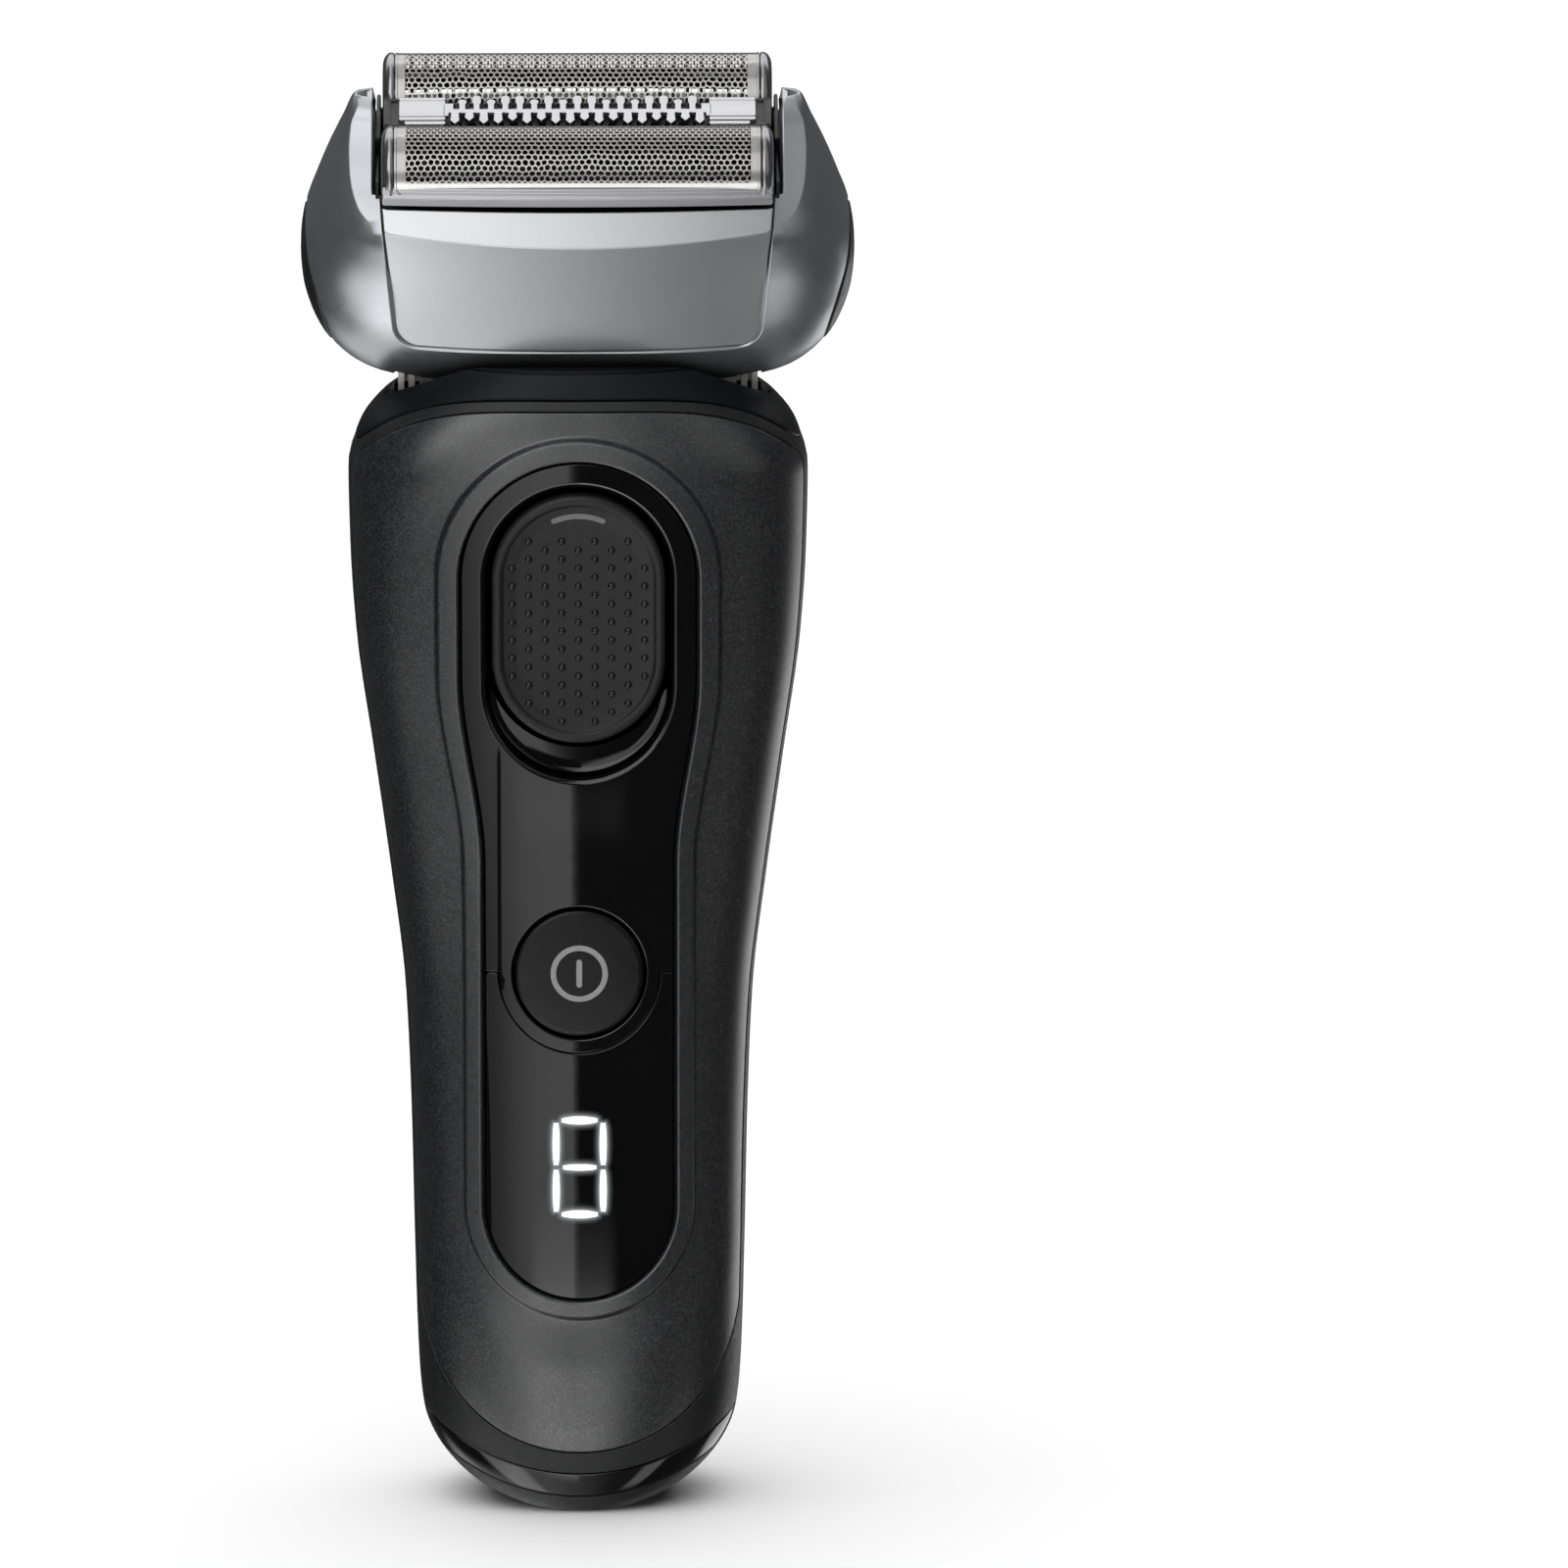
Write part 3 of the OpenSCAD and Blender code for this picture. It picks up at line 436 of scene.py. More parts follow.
def paint_glow(obj, glow):
    """Each point's brightness, which a glowing material reads."""
    attr = obj.data.color_attributes.new("glow", "FLOAT_COLOR", "POINT")
    attr.data.foreach_set("color", pack(glow, glow, glow, np.ones_like(glow)).astype(np.float32).ravel())


def blank(name):
    """A new material without nodes."""
    m = bpy.data.materials.new(name)
    m.use_nodes = True
    m.node_tree.nodes.clear()
    return m, m.node_tree


def put(tree, kind, inputs=(), **settings):
    """A new node, with its inputs set to values or linked to other nodes' outputs."""
    made = tree.nodes.new("ShaderNode" + kind)
    for key, value in settings.items():
        setattr(made, key, value)
    for key, value in dict(inputs).items():
        if isinstance(value, bpy.types.NodeSocket):
            tree.links.new(value, made.inputs[key])
        else:
            made.inputs[key].default_value = value
    return made


def ramp(tree, factor, *stops):
    made = put(tree, "ValToRGB", {0: factor})
    for element, (position, color) in zip(made.color_ramp.elements, stops):
        element.position, element.color = position, (*color, 1)
    return made.outputs[0]


def material(name, color, rough=.45, metal=0., vary=.12, grain=900., bump=.0, bump_scale=None, rough_vary=.15,
             coat=0., coat_rough=.05, spec=.5, stretch=(1, 1, 1), flakes=0., emission=(0, 0, 0, 0)):
    """Procedural finish: colour and roughness vary with noise in the object's own metres, with a fine bump."""
    m, nt = blank(name)
    where = put(nt, "TexCoord").outputs["Object"]
    spread = put(nt, "Mapping", {0: where, "Scale": stretch}).outputs[0]
    noise = put(nt, "TexNoise", {"Vector": spread, "Scale": grain, "Detail": 4}).outputs["Fac"]
    base = ramp(nt, noise, (.3, [c * (1 - vary) for c in color]), (.7, [min(1, c * (1 + vary)) for c in color]))
    if flakes:
        cells = put(nt, "TexVoronoi", {"Vector": where, "Scale": 7000}).outputs["Color"]
        chance = put(nt, "SeparateColor", {0: cells}).outputs[0]
        shine = ramp(nt, chance, (.55, (0, 0, 0)), (1, [flakes] * 3))
        base = put(nt, "MixRGB", {0: 1, 1: base, 2: shine}, blend_type="ADD").outputs[0]
    roughness = put(nt, "MapRange", {"Value": noise, "From Min": .3, "From Max": .7,
                                     "To Min": max(.01, rough * (1 - rough_vary)),
                                     "To Max": min(1, rough * (1 + rough_vary))}).outputs[0]
    sockets = {"Base Color": base, "Roughness": roughness, "Metallic": metal, "Specular IOR Level": spec,
               "Coat Weight": coat, "Coat Roughness": coat_rough}
    if bump:
        fine = put(nt, "TexNoise", {"Vector": spread, "Scale": bump_scale or grain * 2, "Detail": 2})
        lumps = {"Height": fine.outputs["Fac"], "Strength": bump, "Distance": .00005}
        sockets["Normal"] = put(nt, "Bump", lumps).outputs[0]
    if emission[3]:
        sockets.update({"Emission Color": (*emission[:3], 1), "Emission Strength": emission[3]})
    put(nt, "OutputMaterial", {0: put(nt, "BsdfPrincipled", sockets).outputs[0]})
    FINISH[name] = m


material("soft_black", (.0085, .009, .010), .5, vary=.2, grain=1500, bump=.5, bump_scale=5200, spec=.4)
material("collar_black", (.0036, .0042, .0056), .48, vary=.2, grain=1500, bump=.9, bump_scale=3600, spec=.2)
material("graphite", (.0052, .0061, .0080), .35, vary=.2, grain=2600, bump=.3, bump_scale=5200,
         flakes=.03, spec=1.0, coat=.2, coat_rough=.38)
material("gloss_black", (.003, .003, .0035), .025, vary=.2, grain=60, rough_vary=.25)
material("window_black", (.0025, .0025, .003), .02, vary=.2, grain=60, rough_vary=.25)
material("button_black", (.003, .003, .0033), .3, vary=.15, grain=700, bump=.08, spec=.25)
material("pad_rubber", (.006, .006, .0065), .48, vary=.25, grain=1800, bump=.4, bump_scale=4800, spec=.4)
material("gunmetal", (.40, .41, .43), .33, metal=.88, vary=.03, rough_vary=.1)
material("panel_silver", (.45, .455, .47), .3, metal=.9, vary=.02, grain=2200, rough_vary=.08)
material("trim_silver", (.36, .36, .37), .3, metal=1, vary=.05, grain=600, bump=.08, stretch=(.05, 1, 1))
material("foil_steel", (.36, .355, .345), .22, metal=1, vary=.06, grain=1400, bump=.06)
material("cap_grey", (.30, .30, .31), .22, metal=.9, vary=.06, bump=.05)
material("comb_steel", (.45, .45, .46), .22, metal=1, vary=.04, grain=800, bump=.08, stretch=(.08, 1, 1))
# near black: dark steel for the motor parts and hair blade, and painted shade for the cutters under the foils
# and the trimmer blade under the comb
material("dark_steel_painted_shade", (.012, .012, .0125), .5, metal=.3, vary=.2, grain=1500, spec=.2)
material("inner_black", (.004, .004, .0045), .5, vary=.3, bump=.1, spec=.3)
material("cassette_black", (.005, .005, .0055), .4, vary=.25, bump=.1, spec=.3)
material("mark_grey", (.16, .16, .165), .5, vary=.08, grain=1200)
material("icon_grey", (.30, .30, .305), .5, vary=.08, grain=1200)
material("digit_white", (.9, .93, 1), .4, vary=.02, grain=1200, emission=(.95, .98, 1, 1.4))
material("bright_steel", (.62, .62, .63), .25, metal=1, vary=.06, grain=500, bump=.1, stretch=(1, 1, .06))
material("spring_steel", (.6, .6, .62), .25, metal=1, vary=.05)
material("yoke_steel", (.50, .49, .47), .34, metal=1, vary=.1, grain=700, bump=.15, stretch=(1, 1, .1))
material("dot_rubber", (.004, .004, .0045), .32, vary=.2, grain=1800)
material("button_rubber", (.008, .008, .0085), .42, vary=.2, grain=1400, bump=.3, spec=.4)
material("gold", (.80, .60, .28), .22, metal=1, vary=.06)
material("slide_grey", (.03, .03, .033), .42, vary=.2, grain=1200, bump=.3)
material("frame_grey", (.30, .31, .33), .5, vary=.08, bump=.1)
material("sleeve_blue", (.05, .14, .34), .3, grain=300, bump=.1)
material("board_green", (.015, .13, .06), .35, vary=.25, grain=700, bump=.1)
material("chip_black", (.02, .02, .022), .5, vary=.2, bump=.1)
material("module_white", (.7, .7, .67), .5, vary=.05)
material("copper", (.62, .26, .11), .3, metal=1, vary=.2, grain=1800, bump=.3, stretch=(1, 1, .2))
material("lead_orange", (.5, .22, .05), .35, vary=.15)
material("seal_rubber", (.012, .012, .012), .6, vary=.2, bump=.2)

# white light round the lit digit, which fades to nothing with the mesh's own glow value
FINISH["halo_glow"], nt = blank("halo_glow")
own = put(nt, "Attribute", attribute_name="glow").outputs["Fac"]
fade = put(nt, "Math", {0: own, 1: .62}, operation="MULTIPLY").outputs[0]
light = put(nt, "Emission", {"Color": (.92, .96, 1, 1), "Strength": .9}).outputs[0]
clear = put(nt, "BsdfTransparent").outputs[0]
put(nt, "OutputMaterial", {0: put(nt, "MixShader", {0: fade, 1: clear, 2: light}).outputs[0]})

for finish, names in {
    "module_white": "display_module", "sleeve_blue": "battery", "board_green": "circuit_board",
    "chip_black": "board_components", "gold": "charge_pins",
    "lead_orange": "motor_lead", "copper": "motor_coil",
    "yoke_steel": "swivel_yoke", "slide_grey": "trimmer_slide", "frame_grey": "inner_frame slider_latch",
    "seal_rubber": "collar_gasket drive_seal", "spring_steel": "release_springs float_springs",
    "inner_black": "charge_socket trimmer_rail head_chassis",
    "bright_steel": "battery_tabs power_switch board_screws clean_contacts hair_comb swivel_pins",
    # the cutters and the trimmer blade are near black as painted shade inside the head
    "dark_steel_painted_shade": "hair_blade motor_core armature_front armature_rear cutter_front cutter_rear trimmer_blade",
}.items():
    for name in names.split():
        nodes[name].data.materials.clear()
        nodes[name].data.materials.append(FINISH[finish])


# ---------------- outlines, anticlockwise seen from the front
def top_seam(x):
    return 131.0 - 6.8 * (np.minimum(np.abs(x), 27) / 26) ** 4


def base_seam(x):
    return 4.8 + 29.4 - np.sqrt(29.4**2 - np.minimum(np.abs(x), 28) ** 2)


def panel_half(z):
    return PANEL_WIDE - 2.6 * smooth((98.9 - z) / 21.8)


def panel_outline(grow=0., step=.5):
    zs = np.arange(PANEL_TOP, PANEL_LOW, -step)[1:]
    left = pack(-panel_half(zs) - grow, zs)
    right = pack(panel_half(zs[::-1]) + grow, zs[::-1])
    return np.vstack([arc(0, PANEL_TOP, PANEL_WIDE + grow, 0, 180, 80), left,
                      arc(0, PANEL_LOW, PANEL_NARROW + grow, 180, 360, 70), right])


def cover_outline(grow=0., step=.5):
    xs = np.arange(25.3, -25.31, -.46)
    top = pack(xs, top_seam(xs) - 1.25 + grow)
    zs = np.append(122.3, np.arange(121, 30, -1.5))
    left = pack(-H_WIDE(zs) + .5 - grow, zs)
    bottom = arc(0, 26, 18.6 + grow, 184, 356, 90)
    bottom[:, 0] = np.clip(bottom[:, 0], -(H_WIDE(bottom[:, 1]) - .5 + grow), H_WIDE(bottom[:, 1]) - .5 + grow)
    right = pack(-left[::-1, 0], zs[::-1])
    return even(np.vstack([top, left, bottom, right]), step)


def upto(seam, lift, thetas):
    """Heights where a front-view seam, moved up by lift, crosses the handle at those angles."""
    z = seam(np.zeros_like(thetas)) + lift
    for _ in range(60):
        x, _ = ring(thetas, *section(HANDLE_FORM, z))
        z = .5 * z + .5 * (seam(x) + lift)
    return z


# ---------------- front cover, with the raised lip round the panel
def from_panel(x, z):
    """Distance from the panel's outline, outside positive."""
    zc = np.clip(z, PANEL_LOW, PANEL_TOP)
    r = np.where(z > PANEL_TOP, PANEL_WIDE, np.where(z < PANEL_LOW, PANEL_NARROW, panel_half(z)))
    return np.hypot(x, z - zc) - r


def lip(p, q):
    """The raised edge round the panel and the shallow valley outside it."""
    d = from_panel(handle_x(p, q), q)
    edge = 1.75 + .45 * smooth((q - 60) / 50)
    step = smooth((d - edge) / .75)
    up = .36 * (1 - step)
    valley = -.42 * step * (1 - smooth((d - edge - .6) / 6.5))
    return up + valley


cover_surface = lifted(handle, lip)
guides = [on_handle(panel_outline(g, .6))
          for g in (.8, 1.3, 1.6, 1.75, 1.9, 2.05, 2.2, 2.35, 2.5, 2.65, 2.8, 3.1, 3.6, 4.4)]
build("front_cover_shell",
      plate(cover_surface, [on_handle(cover_outline(-.04)), on_handle(panel_outline(.06, .4))[::-1]],
            r=[.22, .32], depth=1.5, pitch=1.1, rings=guides),
      "graphite", "handle", ["front_cover"])

# ---------------- rear housing: one wrapped sheet
lap = math.radians(3)


def turn_round(end):
    """A full turn of angles that ends, with a lap, at this one."""
    return np.linspace(end - 2 * math.pi - lap, end + lap, 400)


def band_loop(angles, low, high):
    """The outline, in surface coordinates, of a sheet between two lines of heights."""
    start, end = angles[0] * TURN, angles[-1] * TURN
    return np.vstack([pack(angles * TURN, low), path(.8, (end, low[-1]), (end, high[-1]))[1:-1],
                      pack(angles * TURN, high)[::-1], path(.8, (start, high[0]), (start, low[0]))[1:-1]])


side_back = turn_round(math.radians(150))
wrap_line = band_loop(side_back, upto(base_seam, .08, side_back), upto(top_seam, -.08, side_back))
around = turn_round(math.pi / 2)
rail_hole = on_handle(rectangle(-9.55, 93, 9.55, 125.4, 1.6), back=True)
contact_holes = [on_handle(arc(x, 22, 2.2, 0, 352, 44), back=True) for x in (-4.5, 4.5)]
build("rear_housing_shell",
      plate(handle, [wrap_line, on_handle(cover_outline(.04))[::-1], rail_hole, *contact_holes],
            r=[.16, .16, .35, .25, .25], depth=1.5, pitch=1.5),
      "soft_black", "handle", ["rear_housing"])

# ---------------- base band and foot
def band(low, high, r=.16, depth=1.2, pitch=.8):
    """A sheet all the way round the handle."""
    return plate(handle, [band_loop(around, low, high)], r=r, depth=depth, pitch=pitch)


build("base_band_ring", band(upto(base_seam, -2.74, around), upto(base_seam, -.02, around)),
      "gloss_black", "handle", ["base_band"])
foot_wall = band(np.full_like(around, .02), upto(base_seam, -2.88, around))
sole = pack(*ring(circle(120), 8.15, 11.75, 11.75, 2.1))
sole_hole = rectangle(-4.1, 2.9, 4.1, 8.1, .9, .4)


under = plate(lambda p, q: pack(p, -q, .01), [(sole * [1, -1])[::-1], sole_hole * [1, -1]],
              r=[.05, .3], depth=1.0, pitch=1.5)
build("base_foot_shell", [foot_wall, under], "soft_black", "handle", ["base_foot"])

# ---------------- collar: wall, saddle and yoke slots
RIM_Z, SADDLE_R = 133.95, 18.9
rim_z = np.full_like(around, RIM_Z)
for _ in range(40):
    _, y = ring(around, *section(HANDLE_FORM, rim_z))
    saddle = PIVOT_Z - np.sqrt(np.maximum(SADDLE_R**2 - (y - PIVOT_Y) ** 2, 1))
    rim_z = .5 * rim_z + .5 * np.minimum(saddle, RIM_Z)
wall = band(upto(top_seam, .04, around), rim_z, r=.35, depth=1.3, pitch=.9)
angles = np.linspace(-1.5 * math.pi, .5 * math.pi, 160, endpoint=False)
rz = np.interp(angles, around, rim_z)
rim = pack(*ring(angles, H_WIDE(rz) - .5, H_FRONT(rz) - .5, H_BACK(rz) - .5, H_EXP(rz)))


def saddle_surface(p, q):
    dip = PIVOT_Z - np.sqrt(np.maximum(18.88**2 - (q - PIVOT_Y) ** 2, 1))
    return pack(p, q, np.minimum(dip, 134.1))


slots = [rectangle(x - 1.35, -2.7, x + 1.35, 4.7, .4)[::-1] for x in (-19.7, 19.7)]
saddle_part = plate(saddle_surface, [rim, *slots], r=[.1, .3, .3], depth=1.2, pitch=1.0)
build("collar_shell", [wall, saddle_part], "collar_black", "handle", ["collar"])

# ---------------- glossy panel: outer band, raised middle, window
sunk = lifted(handle, lambda p, q: -SINK)
EDGE = panel_outline(-.13, .4)
SLIDE_Y = -16.967  # the slider's plane, at its middle
REC_TOP, REC_LOW, REC_R = 110.25, 97.75, 10.7  # the slider recess: centres and radius of its ends
split_z, side = BUTTON_Z, 9.33  # where panel and window part, and half the raised middle's width


def stadium(r, top, bottom, k=40, step=.6):
    """A band with round ends of radius r, centred at two heights."""
    right = path(step, (r, bottom), (r, top))[1:-1]
    return np.vstack([arc(0, top, r, 0, 180, k), right[::-1] * [-1, 1], arc(0, bottom, r, 180, 360, k), right])


def fascia_lift(p, q):
    return -SINK + .16 * smooth((side + .1 - np.abs(handle_x(p, q))) / .42) * smooth((91.5 - q) / 3)


edge = EDGE[EDGE[:, 1] > split_z + .02]
gap = np.argmax(np.linalg.norm(edge - np.roll(edge, 1, 0), axis=1))
edge = np.roll(edge, -gap, 0)
upper = np.vstack([edge, path(.4, (edge[-1, 0], split_z), (-9.36, split_z)),
                   arc(0, split_z, 9.36, 181, 359, 110), path(.4, (9.36, split_z), (edge[0, 0], split_z))])
recess_loop = on_handle(stadium(REC_R, REC_TOP, REC_LOW, 60, .5))[::-1]
button_hole = arc(0, BUTTON_Z, 7.78, 360, 3, 120)
guides = [on_handle(path(.7, (s * x, 90.5), (s * x, 64.8)))
          for s in (-1, 1) for x in (8.9, 9.0, 9.12, 9.25, 9.38, 9.5)]
build("fascia_plate",
      plate(lifted(handle, fascia_lift), [on_handle(upper), recess_loop, on_handle(button_hole)],
            r=[.16, .75, .2], depth=1.5, pitch=.8, rings=guides, k=6),
      "gloss_black", "handle", ["fascia"])

edge = EDGE[EDGE[:, 1] < split_z - .1]
window = np.vstack([edge, path(.4, (edge[-1, 0], split_z - .1), (9.46, split_z - .1)),
                    arc(0, split_z, 9.46, -1, -179, 90),
                    path(.4, (-9.46, split_z - .1), (edge[0, 0], split_z - .1))[1:-1]])
build("display_window_lens", plate(sunk, [on_handle(window)], r=.16, depth=1.4, pitch=.8, k=5),
      "window_black", "handle", ["display_window"])


# ---------------- slider recess: from the panel's edge to a flat floor
rows = []
for off, drop in ((.75, .74), (.72, 1.0), (.55, 1.5), (.15, 1.95), (-.5, 2.2), (-1.2, 2.3), (-3.0, 2.32)):
    line = stadium(REC_R + off - .75, REC_TOP, REC_LOW)
    floor = SLIDE_Y + 2.32 - (line[:, 1] - SLIDER_Z) * math.tan(SLOPE)
    blend = min(1, max(0, (drop - .74) / 1.56))
    y = (1 - blend) * (SINK + drop - depth(HANDLE_FORM, line[:, 0], line[:, 1])) + blend * floor
    rows.append(pack(line[:, 0], y, line[:, 1]))
build("slider_recess", fan(rows, np.mean(rows[-1], 0)), "gloss_black", "handle", None, angle=60)


# ---------------- lock slider with its grip dots
def on_slider(part):
    return turned(part, SLOPE, SLIDE_Y, SLIDER_Z)


PAD_R, PAD_HALF = 10, 4.5  # the pad's end radius, and half the distance between the ends' centres


def from_spine(x, z):
    return np.hypot(x, z - np.clip(z, -PAD_HALF, PAD_HALF))


def pad_surface(p, q):
    d = PAD_R - from_spine(p, q)
    rho = np.minimum(from_spine(p, q) / PAD_R, 1)
    y = -1.1 + p * p / 240 + .5 * (1 - rho**2) * smooth((d - .9) / 2) + .34 * smooth((d - 1.0) / .45)
    return pack(p, y, q)


def pad_line(inwards):
    return stadium(PAD_R - inwards, PAD_HALF, -PAD_HALF, 60, .5)


guides = [np.vstack([g, g[:1]]) for g in map(pad_line, (1.0, 1.1, 1.2, 1.3, 1.4, 1.5, 1.9, 2.5))]
pad = plate(pad_surface, [pad_line(.02)], r=.6, depth=2.7, pitch=.9, rings=guides, k=6)
bumps = []
a = circle(14)
for c in range(-4, 5):
    for r in range(-6, 7):
        x, z = c * 1.9, (r + (abs(c) % 2) / 2) * 2.1 - .4
        if from_spine(x, z) < 8.15 and not (z > 9.8 and abs(x) < 4.4):
            base = pad_surface(np.array([x]), np.array([z]))[0]
            rows = [pack(base[0] + .45 * math.cos(w) * np.cos(a), base[1] + .08 - .42 * math.sin(w),
                         base[2] + .45 * math.cos(w) * np.sin(a)) for w in np.radians((0, 22, 44, 66, 84))]
            bumps.append(on_slider(fan(rows, base + [0, -.345, 0])))
build("lock_slider_pad", on_slider(pad), "pad_rubber", "lock_slider", ["lock_slider"])
build("lock_slider_dots", bumps, "dot_rubber", "lock_slider", None, angle=50)


def stroke(cz, r, a0, a1, w):
    """A curved bar with round ends, about (0, cz) from angle a0 up to a1."""
    ends = [(r * math.cos(math.radians(a)), cz + r * math.sin(math.radians(a))) for a in (a0, a1)]
    return np.vstack([arc(0, cz, r + w / 2, a0, a1, 40), arc(*ends[1], w / 2, a1, a1 + 180, 10)[1:-1],
                      arc(0, cz, r - w / 2, a1, a0, 36), arc(*ends[0], w / 2, a0 - 180, a0, 10)[1:-1]])


mark = plate(lambda p, q: pad_surface(p, q) - [0, .04, 0], [stroke(5.0, 7.0, 66.5, 113.5, .66)],
             r=.08, depth=.2, pitch=.4)
build("slider_mark_arc", on_slider(mark), "mark_grey", "lock_slider", ["slider_mark"])

# ---------------- power button and its mark
button_y = -(16.03 - SINK + .18)  # a little in front of the panel
a = circle(128)
# (radius, how far in front of button_y)
cap = [(7.4, -2.4), (7.4, -.35), (7.34, -.18), (7.2, -.06), (7.02, -.01), (6.75, .0), (6.4, .01), (5.4, .05),
       (4.2, .07), (2.6, .085), (1.2, .09), (.02, .09)]
turned_cap = grid_part(np.array([pack(r * np.cos(a), button_y - h, r * np.sin(a) + BUTTON_Z) for r, h in cap]))
build("power_button_cap", turned_cap, "button_black", "power_button", ["power_button"], angle=50)


def icon_plane(p, q):
    return pack(p, button_y - .115, q + BUTTON_Z)


ring_loops = [arc(0, 0, 3.3, 0, 356, 90), arc(0, 0, 2.66, 356, 0, 80)]
bar_loop = np.vstack([arc(0, 1.3, .34, 0, 180, 12), arc(0, -1.3, .34, 180, 360, 12)])
build("power_icon_mark",
      [plate(icon_plane, loops, r=.05, depth=.06, pitch=.4) for loops in (ring_loops, [bar_loop])],
      "icon_grey", "power_button", ["power_icon"])

# ---------------- lit digit
lit = lifted(handle, lambda p, q: -SINK + .03)


def lens(x0, z0, x1, z1, w, taper):
    """A segment, thicker in the middle, between two points."""
    a, b = np.array([x0, z0]), np.array([x1, z1])
    u = unit(b - a)
    n = np.array([-u[1], u[0]])
    s = np.linspace(0, 1, 15)
    half = w / 2 * (taper + (1 - taper) * np.sin(np.pi * s) ** .8)
    centre = a[None] + (b - a)[None] * s[:, None]
    return np.vstack([centre - n * half[:, None], (centre + n * half[:, None])[::-1]])


dx, dz = 2.72, 5.55
segments = [lens(-2.05, z, 2.05, z, .9, .4) for z in (dz, -dz)] + [lens(-1.9, 0, 1.9, 0, .68, .55)] + [
    lens(x, z, x, z + 4.88, .78, .62) for z in (.32, -5.2) for x in (-dx, dx)]
build("display_digit_lit",
      [plate(lit, [on_handle(s + [0, DIGIT_Z])], r=.04, depth=.05, pitch=.4) for s in segments],
      "digit_white", "handle", ["display_digit"])
halo_surface = lifted(handle, lambda p, q: -SINK + .02)
halo_parts, glow = [], []
for seg in segments:
    along = unit(np.roll(seg, -1, 0) - np.roll(seg, 1, 0))
    outwards = pack(along[:, 1], -along[:, 0])
    halo_parts.append(grid_part(np.array([halo_surface(*on_handle(seg + outwards * grow + [0, DIGIT_Z]).T)
                                          for grow in (0, .12, .28, .5, .8)])))
    glow.append(np.repeat([1, .5, .2, .06, 0], len(seg)))
halo = build("display_digit_halo", halo_parts, "halo_glow", "handle", None)
paint_glow(halo, np.concatenate(glow))

# ---------------- head shell
X_IN, Z_TOP, Z_LOW = 23.45, 17.5, -17.25  # inside of the arms, and the shell's ends
ARM_LOW = 9.85  # where the arms' inner edges start, beside the panel's top
SLOT_IN, SLOT_OUT, CORNER = 18.2, 21.1, 21.25  # the yoke slots' sides, and where the lower edge turns
ROUND = 2 * math.pi * TURN  # surface coordinate once round


def at_x(x, z0, z1, back):
    """Up or down the head's surface at one x."""
    return on_head(path(.5, (x, z0), (x, z1)), back)


def before(pts):
    """The same places, one turn earlier."""
    return pts - [ROUND, 0]


def z_where(x, y):
    """Height under the head at which its surface reaches that x and depth."""
    zs = np.linspace(-17.3, -5, 400)
    return float(np.interp(y, depth(HEAD_FORM, x, zs), zs))


def trapezoid(grow, step=.5):
    """The head panel's outline: from its right top down, along the bottom and up the left."""
    c = 2.8 + grow
    pts = np.vstack([[[22.35 + grow, 9.9]], arc(18.15, -4.8, c, -6, -90, 14),
                     arc(-18.15, -4.8, c, -90, -174, 14), [[-22.35 - grow, 9.9]]])
    return even(pts, step, False)


def bottom_line(x0, x1, back):
    return on_head(path(.6, (x0, Z_LOW), (x1, Z_LOW)), back)


def notch(x0, x1, back):
    """Round a yoke slot that cuts up from the lower edge."""
    za, zb = z_where(x0, 9.4), z_where(x1, 9.4)
    return on_head(np.vstack([path(.4, (x0, Z_LOW), (x0, za)), path(.4, (x0, za), (x1, zb))[1:-1],
                              path(.4, (x1, zb), (x1, Z_LOW))]), back)


back_at = math.pi / 2 * TURN
over = .03 * TURN
lo_end, hi_end = back_at - ROUND - over, back_at + over
# the lower edge from the middle of the back, round the left side and the front, to the middle of the back
low_line = np.vstack([
    before(np.vstack([bottom_line(0, -SLOT_IN, True), notch(-SLOT_IN, -SLOT_OUT, True),
                      bottom_line(-SLOT_OUT, -CORNER, True)])),
    bottom_line(-CORNER, -SLOT_OUT, False), notch(-SLOT_OUT, -SLOT_IN, False),
    bottom_line(-SLOT_IN, SLOT_IN, False),
    notch(SLOT_IN, SLOT_OUT, False), bottom_line(SLOT_OUT, CORNER, False),
    bottom_line(CORNER, SLOT_OUT, True), notch(SLOT_OUT, SLOT_IN, True), bottom_line(SLOT_IN, 0, True)])
low_line = np.vstack([[[lo_end, Z_LOW]], low_line, [[hi_end, Z_LOW]]])
arm_r = [at_x(X_IN, ARM_LOW, Z_TOP, True), at_x(X_IN, Z_TOP, ARM_LOW, False)]
arm_l = [at_x(-X_IN, ARM_LOW, Z_TOP, False), before(at_x(-X_IN, Z_TOP, ARM_LOW, True))]
over_r, over_l = (path(.8, (up[-1, 0], Z_TOP), (down[0, 0], Z_TOP))[1:-1] for up, down in (arm_r, arm_l))
trap = trapezoid(.17)
half = trap[trap[:, 0] >= -1e-6]                       # the right half, from its top down to the middle
back_right = on_head(half[::-1], True)                 # from the middle up to the right top
back_left = before(on_head(half * [-1, 1], True))    # from the left top down to the middle
z_half = half[-1, 1]
loop = np.vstack([
    low_line, path(.4, (hi_end, Z_LOW), (hi_end, z_half), (back_at, z_half))[1:], back_right,
    arm_r[0], over_r, arm_r[1], on_head(trap), arm_l[0], over_l, arm_l[1], back_left,
    path(.4, (lo_end + over, z_half), (lo_end, z_half), (lo_end, Z_LOW))[1:-1]])
loop = loop[np.append(True, np.linalg.norm(np.diff(loop, axis=0), axis=1) > 1e-3)]


def oval_hole(a, b, centre=-5.4):
    w = np.linspace(2 * math.pi, 0, 100, endpoint=False)
    y, z = a * np.cos(w), centre + b * np.sin(w)
    wide, deep, _, n = section(HEAD_FORM, z)
    x = wide * (1 - np.minimum(np.abs(y / deep), .999) ** n) ** (1 / n)
    return pack(np.arctan2(y, x) * TURN, z)


